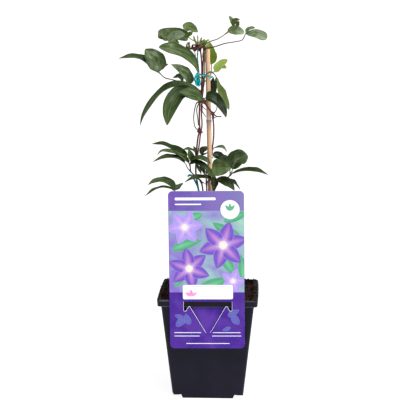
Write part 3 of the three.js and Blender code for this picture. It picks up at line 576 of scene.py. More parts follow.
def make_crumbs(soil_look):
    red = bark_chip_finish("red_bark_chip", (0.02, 0.007, 0.004), (0.12, 0.036, 0.017))
    brown = bark_chip_finish("brown_bark_chip", (0.005, 0.003, 0.002), (0.035, 0.02, 0.013))
    grey = bark_chip_finish("dry_peat_chip", (0.014, 0.01, 0.008), (0.08, 0.06, 0.055))
    kinds = (((1.1, 0.8, 0.5), soil_look), ((0.8, 0.8, 0.7), soil_look), ((1.5, 0.7, 0.35), brown),
             ((1.2, 0.6, 0.4), red), ((2.2, 0.35, 0.25), grey), ((0.9, 0.9, 0.8), brown))
    chips = [make_chip(size, look, seed) for seed, (size, look) in enumerate(kinds, 1)]
    # where chips lie: a band on the pot's lip, and the compost from beside the wall inwards
    rings = [rounded_square(half, CORNER_RADIUS, BULGE, POT_HEIGHT)
             for half in (RIM_WIDTH / 2 - 1.6, wall_half(POT_HEIGHT) - WALL - 0.6)]
    rings += ground_rings(WALL + CLEARANCE + 1.4, [1 - i / CRUMB_RINGS for i in range(CRUMB_RINGS)])
    faces = loft_faces(len(rings), len(rings[0]), caps=False)
    crumbs = make_piece("soil_crumbs", np.concatenate(rings), faces, [soil_look])
    run_tree(crumbs, crumb_tree(chips), **CHIP_SPREAD)
    for chip in chips:
        bpy.data.objects.remove(chip)
    return crumbs


# ---- Cane ----------------------------------------------------------------------------------------
CANE_RADIUS = 3.1
CANE_FOOT = np.array([6.1, 0, 12])
CANE_TOP = np.array([-2.2, 0, 447.5])
CANE_NODES = [95, 226, 357]  # heights of the bamboo's rings
CANE_SLANT = 0.0195  # how far it leans to the left for each metre up
CANE_SIDES = 28
CANE_WAVE, CANE_RIDGE = 0.09, 0.05  # how uneven the skin is along the cane and around it
# How far the skin stands out at so many millimetres above one of the bamboo's rings.
RING_SHAPE = {-5: 0.02, -3: 0.14, -1.6: 0.34, -0.7: 0.46, -0.25: 0.36, 0: 0.05,
              0.3: 0.3, 0.8: 0.42, 1.5: 0.16, 2.4: -0.12, 4: -0.06}


def bamboo_finish():
    look = Finish("bamboo_skin", IOR=1.5, Specular_IOR_Level=0.4, Coat_Weight=0.05, Coat_Roughness=0.3)
    fibre = look.noise(1, 6, 0.65, look.place((1500, 1500, 14)))
    stain = look.noise(1, 3, 0.5, look.place((160, 160, 18)))
    x, _, z = look.parts(look.object_place)
    colour = look.mix(look.span(fibre, 0.3, 0.7), (0.56, 0.34, 0.18), (0.76, 0.52, 0.32))
    colour = look.mix(look.span(stain, 0.52, 0.72, 0, 0.55), colour, (0.42, 0.22, 0.12))
    sideways = look.plus(x, look.times(z, CANE_SLANT))
    shadow_side = look.times(look.span(sideways, 0.0038, 0.0066, 0.85, 0),
                             look.span(stain, 0.3, 0.55, 0.5, 1))
    colour = look.mix(shadow_side, colour, (0.33, 0.19, 0.11))
    for height in CANE_NODES:
        above = look.math("SUBTRACT", z, height * MM)
        bloom = look.times(look.span(above, -0.001, 0.001), look.span(above, 0.003, 0.008, 1, 0))
        under = look.times(look.span(above, -0.014, -0.001), look.span(above, -0.0006, 0.0006, 1, 0))
        colour = look.mix(look.times(bloom, 0.7), colour, (0.62, 0.55, 0.5))
        colour = look.mix(look.times(under, 0.8), colour, (0.3, 0.2, 0.17))
        line = look.span(look.math("ABSOLUTE", look.plus(above, 0.0004)), 0.0002, 0.0009, 0.8, 0)
        colour = look.mix(line, colour, (0.16, 0.08, 0.06))
    return look.paint(
        Base_Color=colour,
        Roughness=look.span(fibre, 0.2, 0.8, 0.38, 0.6),
        Normal=look.bump(fibre, 0.35, 0.25),
    )


def make_cane(look):
    axis = CANE_TOP - CANE_FOOT
    length = np.linalg.norm(axis)
    turn = Vector((0, 0, 1)).rotation_difference(Vector(axis))
    # places along the cane, and how far its skin stands out there
    stations = {0: -0.4, 0.4: 0, length - 0.5: 0, length: -0.5}
    for at in np.linspace(8, length - 8, 60):
        stations[at] = CANE_WAVE * noise.noise(Vector((at * 0.03, 0, 5)))
    for height in CANE_NODES:
        at = height - CANE_FOOT[2]
        stations = {k: v for k, v in stations.items() if abs(k - at) > 5}
        stations |= {at + step: swell for step, swell in RING_SHAPE.items()}
    rings = []
    for at in sorted(stations):
        ring = []
        for j in range(CANE_SIDES):
            angle = 2 * math.pi * j / CANE_SIDES
            ridge = CANE_RIDGE * noise.noise(Vector((math.cos(angle) * 2, math.sin(angle) * 2, at * 0.012)))
            radius = CANE_RADIUS + stations[at] + ridge
            point = turn @ Vector((radius * math.cos(angle), radius * math.sin(angle), at))
            ring.append(np.array(point) + CANE_FOOT)
        rings.append(ring)
    return sharpen(loft("bamboo_cane", rings, look), 50)


# ---- Plant card ----------------------------------------------------------------------------------
CARD_WIDTH = 95
CARD_BOTTOM = 72.5
CARD_TOP = 274.8
CARD_THICKNESS = 0.6
CARD_CORNER = 5.5
CARD_LEAN = math.radians(0.6)
SLOT_MIDDLE = 0.9
SLOT_HALF_WIDTH = 30.6
SLOT_TOP = 133.4
EAR_BOTTOM = 120.8
SHOULDER_HALF_WIDTH = 23.2
SHOULDER_TOP = 127.4
TONGUE_ROOT = 93
TONGUE_ROOT_HALF_WIDTH = 2.2
TONGUE_TOP = 129
TONGUE_CUT = 0.5
CARD_FRONT = -(RIM_WIDTH / 2 + BULGE + CLEARANCE + CARD_THICKNESS)
TONGUE_LEAN = math.atan2(LIP_TAPER + WALL + 2 * CLEARANCE + CARD_THICKNESS + 0.65,
                         POT_HEIGHT - LIP_HEIGHT - TONGUE_ROOT)
PRINT_LAYER = 0.03  # each layer of print stands this much proud of the one below
PRINT_DEPTH = 0.01  # how far the print reaches into the card
PICTURE_HALF_WIDTH = CARD_WIDTH / 2 - 0.3
PICTURE_BOTTOM, PICTURE_TOP = 145.5, 249.8
PICTURE_EDGES = (((1, 0, 0), PICTURE_HALF_WIDTH), ((-1, 0, 0), PICTURE_HALF_WIDTH),
                 ((0, 0, 1), PICTURE_TOP), ((0, 0, -1), -PICTURE_BOTTOM))
MOTIF_CELLS = (14, 8)  # along and across a printed leaf
MOTIF_FORWARD = 0.8  # a printed leaf is widest at its middle with 1, and nearer its base with less
CUT_RIM = 0.4  # how wide the pale stock shows around the cut
INK_SURFACE = {"IOR": 1.5, "Specular_IOR_Level": 0.25, "Coat_Weight": 0.08, "Coat_Roughness": 0.12}


def on_card(points):
    """From places on the card (x from its middle, depth behind its front, height) to the plant's frame."""
    c, s = math.cos(CARD_LEAN), math.sin(CARD_LEAN)
    out = []
    for x, y, z in points:
        up = z - SLOT_TOP
        out.append((c * x - s * up, CARD_FRONT + y, s * x + c * up + SLOT_TOP))
    return out


def tongue_half(z):
    share = (z - TONGUE_ROOT) / (SHOULDER_TOP - TONGUE_ROOT)
    return TONGUE_ROOT_HALF_WIDTH + share * (SHOULDER_HALF_WIDTH - 1 - TONGUE_ROOT_HALF_WIDTH)


def arc(cx, cz, radius, start, end, steps=8):
    turn = np.radians(np.linspace(start, end, steps + 1))
    return [(cx + radius * math.cos(a), cz + radius * math.sin(a)) for a in turn]


def rounded_box(left, right, bottom, top, radius):
    low, high, near, far = bottom + radius, top - radius, left + radius, right - radius
    return (arc(far, low, radius, -90, 0) + arc(far, high, radius, 0, 90)
            + arc(near, high, radius, 90, 180) + arc(near, low, radius, 180, 270))


def flat_plate(name, outlines, thickness, looks):
    """A plate in the XZ plane, front at y = 0: the first closed outline is its edge, others are holes."""
    curve = bpy.data.curves.new(name, "CURVE")
    curve.dimensions = "2D"
    curve.fill_mode = "BOTH"
    curve.extrude = thickness / 2
    for outline in outlines:
        spline = curve.splines.new("POLY")
        spline.points.add(len(outline) - 1)
        for point, (x, z) in zip(spline.points, outline):
            point.co = (x, z, 0, 1)
        spline.use_cyclic_u = True
    drawn = add_object(name, curve)
    bpy.context.view_layer.update()
    ready = drawn.evaluated_get(bpy.context.evaluated_depsgraph_get())
    mesh = bpy.data.meshes.new_from_object(ready)
    bpy.data.objects.remove(drawn)
    bpy.data.curves.remove(curve)
    shape = bmesh.new()
    shape.from_mesh(mesh)
    bmesh.ops.remove_doubles(shape, verts=shape.verts, dist=1e-4)
    for corner in shape.verts:
        x, z, y = corner.co
        corner.co = (x, thickness / 2 + y, z)
    turn_outward(shape)
    for face in shape.faces:
        face.material_index = 0 if abs(face.normal.y) > 0.9 else len(looks) - 1
        face.smooth = False
    mesh.materials.clear()
    for look in looks:
        mesh.materials.append(look)
    shape.to_mesh(mesh)
    shape.free()
    return add_object(name, mesh)


def card_window():
    """The card's cut: a slot over the lip, and around the tongue below it."""
    side = [(SLOT_HALF_WIDTH, SLOT_TOP), (SLOT_HALF_WIDTH, EAR_BOTTOM + 1.6),
            (SLOT_HALF_WIDTH - 0.6, EAR_BOTTOM + 0.4), (SLOT_HALF_WIDTH - 1.8, EAR_BOTTOM),
            (SLOT_HALF_WIDTH - 3.1, EAR_BOTTOM + 1),
            (SHOULDER_HALF_WIDTH + 2.2, SHOULDER_TOP - 1.6), (SHOULDER_HALF_WIDTH + 1, SHOULDER_TOP - 0.3),
            (SHOULDER_HALF_WIDTH, SHOULDER_TOP), (SHOULDER_HALF_WIDTH - 0.8, SHOULDER_TOP - 0.6),
            (tongue_half(TONGUE_ROOT) + TONGUE_CUT, TONGUE_ROOT)]
    loop = side + [(-x, z) for x, z in reversed(side)]
    return [(x + SLOT_MIDDLE, z) for x, z in loop]


def settle_on_card(piece):
    place_in_mm = [tuple(v.co) for v in piece.data.vertices]
    for corner, place in zip(piece.data.vertices, on_card(place_in_mm)):
        corner.co = Vector(place) * MM
    piece.data.update()
    return piece


def make_card(violet, stock):
    half = CARD_WIDTH / 2
    edge = rounded_box(-half, half, CARD_BOTTOM, CARD_TOP, CARD_CORNER)
    card = flat_plate("plant_card", [edge, card_window()], CARD_THICKNESS, [violet, stock])
    root, top = tongue_half(TONGUE_ROOT), tongue_half(TONGUE_TOP)
    outline = [(-root, TONGUE_ROOT - 1), (root, TONGUE_ROOT - 1), (root, TONGUE_ROOT), (top, TONGUE_TOP),
               (-top, TONGUE_TOP), (-root, TONGUE_ROOT)]
    outline = [(x + SLOT_MIDDLE, z) for x, z in outline]
    tongue = flat_plate("tongue", [outline], CARD_THICKNESS, [violet, stock])
    c, s = math.cos(TONGUE_LEAN), math.sin(TONGUE_LEAN)
    for corner in tongue.data.vertices:
        x, y, z = corner.co
        up = z - TONGUE_ROOT
        corner.co = (x, c * y + s * up, c * up - s * y + TONGUE_ROOT)
    return settle_on_card(join([card, tongue]))


# ---- Card print ----------------------------------------------------------------------------------
def card_violet_finish():
    look = Finish("card_violet", IOR=1.5, Specular_IOR_Level=0.1, Coat_Weight=0.04, Coat_Roughness=0.12)
    x, _, z = look.parts(look.object_place)
    wash = look.noise(38, 3, 0.5, distortion=0.6)
    low = look.mix(look.span(wash, 0.35, 0.68), (0.052, 0.014, 0.255), (0.096, 0.034, 0.315))
    head = look.mix(look.span(x, -0.045, 0.045), (0.12, 0.07, 0.365), (0.205, 0.178, 0.43))
    head = look.mix(look.span(wash, 0.4, 0.7, 0, 0.5), head, (0.26, 0.14, 0.44))
    return look.paint(
        Base_Color=look.mix(look.span(z, 0.195, 0.24), low, head),
        Roughness=look.span(wash, 0.3, 0.7, 0.3, 0.42),
    )


def card_stock_finish():
    look = Finish("card_stock", IOR=1.5, Specular_IOR_Level=0.4)
    fleck = look.noise(900, 3)
    return look.paint(
        Base_Color=look.mix(look.span(fleck, 0.4, 0.7), (0.82, 0.82, 0.84), (0.74, 0.74, 0.78)),
        Roughness=look.span(fleck, 0.3, 0.7, 0.32, 0.45),
    )


def ink_finish(name, first, second, scale):
    look = Finish(name, **INK_SURFACE)
    wash = look.noise(scale, 4, 0.55, distortion=0.5)
    return look.paint(
        Base_Color=look.mix(look.span(wash, 0.35, 0.68), first, second),
        Roughness=look.span(wash, 0.3, 0.7, 0.3, 0.42),
    )


def petal_ink_finish(name, edge, middle, base):
    """Ink that runs along a printed petal or leaf by its UV map: u from base to tip, v across."""
    look = Finish(name, **INK_SURFACE)
    uv = look.node("UVMap", {"uv_map": "motif"}).outputs["UV"]
    along, side = look.along_and_side(uv)
    streak = look.noise(1, 4, 0.6, look.place((2, 26, 1), where=uv))
    bar = look.times(look.span(side, 0.05, 0.55, 1, 0), look.span(along, 0.35, 1.0, 1, 0.15))
    colour = look.mix(look.span(streak, 0.35, 0.7), edge, tuple(min(1, c * 1.5 + 0.02) for c in edge))
    colour = look.mix(bar, colour, middle)
    colour = look.mix(look.span(along, 0.0, 0.3, 0.9, 0), colour, base)
    colour = look.mix(look.span(side, 0.9, 1, 0, 0.3), colour, (0.8, 0.75, 0.95))
    return look.paint(Base_Color=colour, Roughness=look.span(streak, 0.3, 0.7, 0.3, 0.42))


def print_patch(outline, layer, look):
    """A flat printed area on the card's front."""
    thickness = PRINT_LAYER * (layer + 1)
    patch = flat_plate("print", [outline], thickness, [look])
    for corner in patch.data.vertices:
        corner.co.y -= thickness - PRINT_DEPTH
    return patch


def grid_border(rows, columns):
    """The corners (row, column) around a grid of so many cells, in order."""
    return ([(0, j) for j in range(columns)] + [(i, columns) for i in range(rows)]
            + [(rows, j) for j in range(columns, 0, -1)] + [(i, 0) for i in range(rows, 0, -1)])


def motif_leaf(root, direction, length, width, layer, look, bend=0.0):
    """A printed petal or leaf that starts at root and points at direction degrees."""
    rows, columns = MOTIF_CELLS
    corners, uv, faces = [], [], []
    turn = math.radians(direction)
    for side_of_plate in (0, 1):
        for i in range(rows + 1):
            t = i / rows
            reach = width / 2 * (math.sin(math.pi * t**MOTIF_FORWARD) ** 0.8 if 0 < t < 1 else 0) + 0.05
            sway = bend * length * t * (1 - t)
            for j in range(columns + 1):
                w = -1 + 2 * j / columns
                u, v = t * length, w * reach + sway
                x = root[0] + u * math.cos(turn) - v * math.sin(turn)
                z = root[1] + u * math.sin(turn) + v * math.cos(turn)
                corners.append((x, PRINT_DEPTH if side_of_plate else -PRINT_LAYER * (layer + 1), z))
                uv.append((t, (w + 1) / 2))
    stride, half = columns + 1, (rows + 1) * (columns + 1)
    for i in range(rows):
        for j in range(columns):
            a, b, c, d = i * stride + j, i * stride + j + 1, (i + 1) * stride + j + 1, (i + 1) * stride + j
            faces += [(a, d, c, b), (half + a, half + b, half + c, half + d)]
    border = [i * stride + j for i, j in grid_border(rows, columns)]
    faces += [(a, b, half + b, half + a) for a, b in zip(border, border[1:] + border[:1])]
    leaf = make_piece("motif", np.array(corners) / MM, faces, [look], smooth=False)
    layer_uv = leaf.data.uv_layers.new(name="motif")
    for loop in leaf.data.loops:
        layer_uv.data[loop.index].uv = uv[loop.vertex_index]
    shape = bmesh.new()
    shape.from_mesh(leaf.data)
    in_picture = PICTURE_BOTTOM <= root[1] <= PICTURE_TOP
    for normal, limit in PICTURE_EDGES if in_picture else ():
        normal = Vector(normal)
        cut = bmesh.ops.bisect_plane(shape, geom=shape.verts[:] + shape.edges[:] + shape.faces[:],
                                     plane_co=normal * limit, plane_no=normal, clear_outer=True, dist=1e-4)
        rim = [e for e in cut["geom_cut"] if isinstance(e, bmesh.types.BMEdge)]
        if rim:
            bmesh.ops.holes_fill(shape, edges=rim)
    turn_outward(shape)
    shape.to_mesh(leaf.data)
    shape.free()
    return leaf


def blossom(middle, radius, start, layer, petal, eye, count=6):
    petals = [motif_leaf(middle, start + 360 / count * k, radius, radius * 0.62, layer + k % 3, petal,
                         0.08 * (-1) ** k) for k in range(count)]
    stamens = [motif_leaf(middle, start + 20 * k, radius * 0.2, radius * 0.045, layer + 4, eye)
               for k in range(18)]
    return petals + stamens + [print_patch(arc(*middle, radius * 0.1, 0, 345, 15), layer + 5, eye)]


def sprig(root, directions, length, width, layer, look):
    return [motif_leaf(root, direction, length, width, layer + k, look)
            for k, direction in enumerate(directions)]


def widened(loop, width):
    """A clockwise loop moved outwards by a width."""
    points = np.array(loop)
    along = unit(unit(np.roll(points, -1, 0) - points) + unit(points - np.roll(points, 1, 0)))
    return [tuple(p) for p in points + width * np.stack([-along[:, 1], along[:, 0]], 1)]


def make_card_print():
    mint_ground = ink_finish("print_mint_ground", (0.23, 0.14, 0.54), (0.3, 0.58, 0.44), 22)
    petal = petal_ink_finish("print_petal", (0.12, 0.055, 0.4), (0.5, 0.24, 0.55), (0.8, 0.62, 0.85))
    pale_petal = petal_ink_finish("print_pale_petal", (0.3, 0.22, 0.6), (0.55, 0.36, 0.72),
                                  (0.85, 0.75, 0.92))
    leaf = petal_ink_finish("print_leaf", (0.05, 0.28, 0.14), (0.16, 0.5, 0.28), (0.1, 0.36, 0.2))
    shadow_leaf = petal_ink_finish("print_blue_leaf", (0.075, 0.075, 0.34), (0.1, 0.13, 0.4),
                                   (0.1, 0.07, 0.38))
    eye = ink_finish("print_stamens", (0.9, 0.85, 0.62), (0.85, 0.7, 0.75), 300)
    white = ink_finish("print_white", (0.88, 0.88, 0.92), (0.95, 0.95, 0.96), 200)
    pink = ink_finish("print_pink_rule", (0.9, 0.25, 0.55), (0.85, 0.4, 0.68), 200)
    grey = ink_finish("print_grey_rule", (0.75, 0.76, 0.84), (0.82, 0.83, 0.9), 200)
    half = PICTURE_HALF_WIDTH
    parts = [print_patch([(-half, PICTURE_BOTTOM), (half, PICTURE_BOTTOM), (half, PICTURE_TOP),
                          (-half, PICTURE_TOP)], 0, mint_ground)]

    def add_box(left, right, bottom, top, radius, layer, ink):
        parts.append(print_patch(rounded_box(left, right, bottom, top, radius), layer, ink))

    # a spray that climbs from the lower left to the upper right
    for root, direction, length, width, bend in (
            ((-40, 152), 62, 46, 15, 0.1), ((-12, 150), 20, 44, 15, -0.12), ((34, 170), 118, 44, 14, 0.1),
            ((44, 214), 150, 42, 15, 0.1), ((-44, 200), 18, 40, 14, 0.12), ((-4, 246), 205, 42, 13, -0.1),
            ((22, 236), 20, 34, 12, 0.1), ((46, 158), 95, 36, 12, -0.1)):
        parts.append(motif_leaf(root, direction, length, width, 1, leaf, bend))
    parts += blossom((-27, 229), 23, 8, 3, pale_petal, eye)
    parts += blossom((-22, 176), 27, 40, 3, petal, eye)
    parts += blossom((21, 206), 31, 15, 9, petal, eye)
    parts += blossom((33, 160), 17, 0, 3, pale_petal, eye, 5)
    # white panel over the picture's foot, with plain rules
    add_box(-30.5, 32.8, 136.6, 155, 2.2, 16, white)
    add_box(-20, 26, 153.2, 153.8, 0.2, 17, pink)
    add_box(-10, 26, 139.4, 140, 0.2, 17, pink)
    for bottom in (146.6, 143.2):
        add_box(-9, 27, bottom, bottom + 1.5, 0.5, 17, grey)
    parts += sprig((-20, 141), (30, 90, 150), 8.6, 4, 17, pink)
    # pale stock that shows around the cut
    cut = card_window()
    rim, side = widened(cut, CUT_RIM), len(cut) // 2
    for first in (0, side):
        parts.append(print_patch(rim[first:first + side] + cut[first:first + side][::-1], 9, grey))
    # head: a roundel with a sprig, and plain rules
    parts.append(print_patch(arc(29.9, 251.3, 12, 0, 352, 44), 12, white))
    parts += sprig((29.9, 250), (50, 90, 130), 9, 3.6, 13, leaf)
    add_box(-39, 12, 263.2, 266.6, 1.2, 2, white)
    add_box(-39, -6, 257.2, 258.8, 0.6, 2, white)
    # lower panel: plain rules and faint leaves
    for left, right, bottom in ((-42, -8, 92.6), (-42, -10, 88.2), (7, 42, 92.6), (6, 43, 88.2),
                                (-27, 28, 78.4)):
        add_box(left, right, bottom, bottom + 0.9, 0.3, 1, grey)
    faint = (((-40, 101), 40, 22, 9), ((-22, 103), 110, 16, 8), ((-30, 112), 160, 12, 6),
             ((40, 103), 120, 20, 9), ((26, 114), 30, 17, 8), ((30, 100), 200, 12, 5))
    for k, (root, direction, length, width) in enumerate(faint):
        parts.append(motif_leaf(root, direction, length, width, 1 + k, shadow_leaf, 0.1))
    return settle_on_card(join(parts))


# ---- Leaves and stems: finishes ------------------------------------------------------------------
VEINS = [0.0, 0.37, 0.7]  # across half a blade, midrib first
VEIN_WIDTHS = (0.06, 0.026, 0.02)  # of their colour, across half a blade
VEIN_STRENGTHS = (1, 0.35, 0.22)  # of their colour
VEIN_DEPTHS = (0.34, 0.12, 0.08)  # millimetres
# Colours of a blade's two sides: by its tone, from dark to pale, and where it is half young and quite young.
# On the upper side the palest, greyest colour stands for painted sheen.
UPPER_GREENS = (0.004, 0.012, 0.002), (0.03, 0.058, 0.013), (0.085, 0.125, 0.042), (0.2, 0.26, 0.15)
UPPER_YOUNG = (0.13, 0.19, 0.016), (0.32, 0.43, 0.09)
UNDER_GREENS = (0.05, 0.08, 0.038), (0.1, 0.14, 0.07), (0.16, 0.2, 0.12), (0.26, 0.3, 0.22)
UNDER_YOUNG = (0.13, 0.19, 0.03), (0.24, 0.33, 0.08)
# Colours of a stem by its tone.
STEM_TONES = ((0.0, (0.17, 0.012, 0.016)), (0.28, (0.07, 0.016, 0.019)), (0.5, (0.06, 0.034, 0.03)),
              (0.72, (0.13, 0.17, 0.04)), (0.86, (0.36, 0.2, 0.19)), (1.0, (0.27, 0.235, 0.21)))


def vein_lines(look):
    """How close a point of a blade is to a vein, from its UV map: 1 on the vein."""
    along, side = look.along_and_side(look.node("UVMap", {"uv_map": "blade"}).outputs["UV"])
    lines = None
    for place, width, strength in zip(VEINS, VEIN_WIDTHS, VEIN_STRENGTHS):
        away = look.apart(side, place)
        line = look.span(away, width * 0.3, width, strength, 0)
        lines = line if lines is None else look.math("MAXIMUM", lines, line)
    return lines, along, side


def blade_finish(name, under):
    look = Finish(name, IOR=1.45, Specular_IOR_Level=0.1 if under else 0.16)
    lines, along, side = vein_lines(look)
    age, tone = look.attribute("youth"), look.attribute("tone")
    mottle = look.noise(75, 5, 0.6)
    net = look.cells(520, "DISTANCE_TO_EDGE")
    greens, (half_young, young) = (UNDER_GREENS, UNDER_YOUNG) if under else (UPPER_GREENS, UPPER_YOUNG)
    patches = look.noise(38, 3, 0.5, look.place((1, 1, 1), (0.13, 0, 0)))
    shift = look.plus(look.span(mottle, 0.25, 0.75, -0.12, 0.12), look.span(patches, 0.35, 0.65, -0.16, 0.16))
    x = look.parts(look.object_place)[0]
    lengthwise = look.node("CombineXYZ", X=look.times(along, 2.4), Y=look.times(side, 1.9),
                           Z=look.times(x, 45)).outputs[0]
    # Lighter and darker streaks along the blade: partly the leaf's own colour, partly painted sheen.
    shift = look.plus(shift, look.span(look.noise(1.6, 3, 0.5, lengthwise), 0.35, 0.65, -0.17, 0.17))
    shift = look.plus(shift, look.span(along, 0.45, 1.0, -0.03, 0.16))
    shift = look.math("SUBTRACT", shift, look.span(side, 0.7, 1.0, 0, 0.3))
    body = look.ramp(look.math("ADD", shift, tone, True), *zip((0.0, 0.45, 0.82, 1.0), greens))
    # Painted sheen: pale grey-green streaks along the blade.
    painted_sheen = look.noise(1.1, 4, 0.6, look.place((1, 1, 1), (7, 3, 0), lengthwise))
    body = look.mix(look.span(painted_sheen, 0.52, 0.68, 0, 0.3), body, (0.19, 0.22, 0.17))
    body = look.mix(look.span(age, 0, 0.5), body, half_young)
    body = look.mix(look.span(age, 0.5, 1), body, young)
    edge_tint = look.times(look.span(side, 0.93, 1.0), look.span(mottle, 0.4, 0.65))
    body = look.mix(look.times(edge_tint, 0.35), body, (0.12, 0.07, 0.035))
    net_line = look.span(net, 0.0, 0.05, 0.2, 0)
    body = look.mix(net_line, body, look.mix(0.5, body, greens[2]))
    vein_colour = look.mix(0.62 if under else 0.4, body, (0.24, 0.3, 0.14))
    colour = look.mix(look.times(lines, 0.6), body, vein_colour)
    relief = look.plus(look.times(net, 1.2), look.times(mottle, 0.35))
    return look.paint(
        Base_Color=colour,
        Roughness=look.span(mottle, 0.25, 0.75, 0.5 if under else 0.3, 0.66 if under else 0.44),
        Normal=look.bump(relief, 0.5, 0.35),
    )


def stem_finish():
    look = Finish("stem_bark", IOR=1.45, Specular_IOR_Level=0.45)
    streaks = look.noise(1, 5, 0.65, look.place((900, 900, 60)))
    colour = look.ramp(look.attribute("tone"), *STEM_TONES)
    shade = look.mix(look.span(streaks, 0.35, 0.7, 0, 0.6), (1, 1, 1), (0.45, 0.42, 0.42))
    return look.paint(
        Base_Color=look.mix(1.0, colour, shade, "MULTIPLY"),
        Roughness=look.span(streaks, 0.3, 0.7, 0.35, 0.6),
        Normal=look.bump(streaks, 0.4, 0.25),
    )


# ---- Leafy stems: the same lines as the solids ---------------------------------------------------
def sight(point):
    """[x, y, z] is a place on the plane y = 0 as seen from the vantage, with the true depth y."""
    x, y, z = point
    return (np.array([x, 0, z]) - VANTAGE) * (1 - y / VANTAGE[1]) + VANTAGE
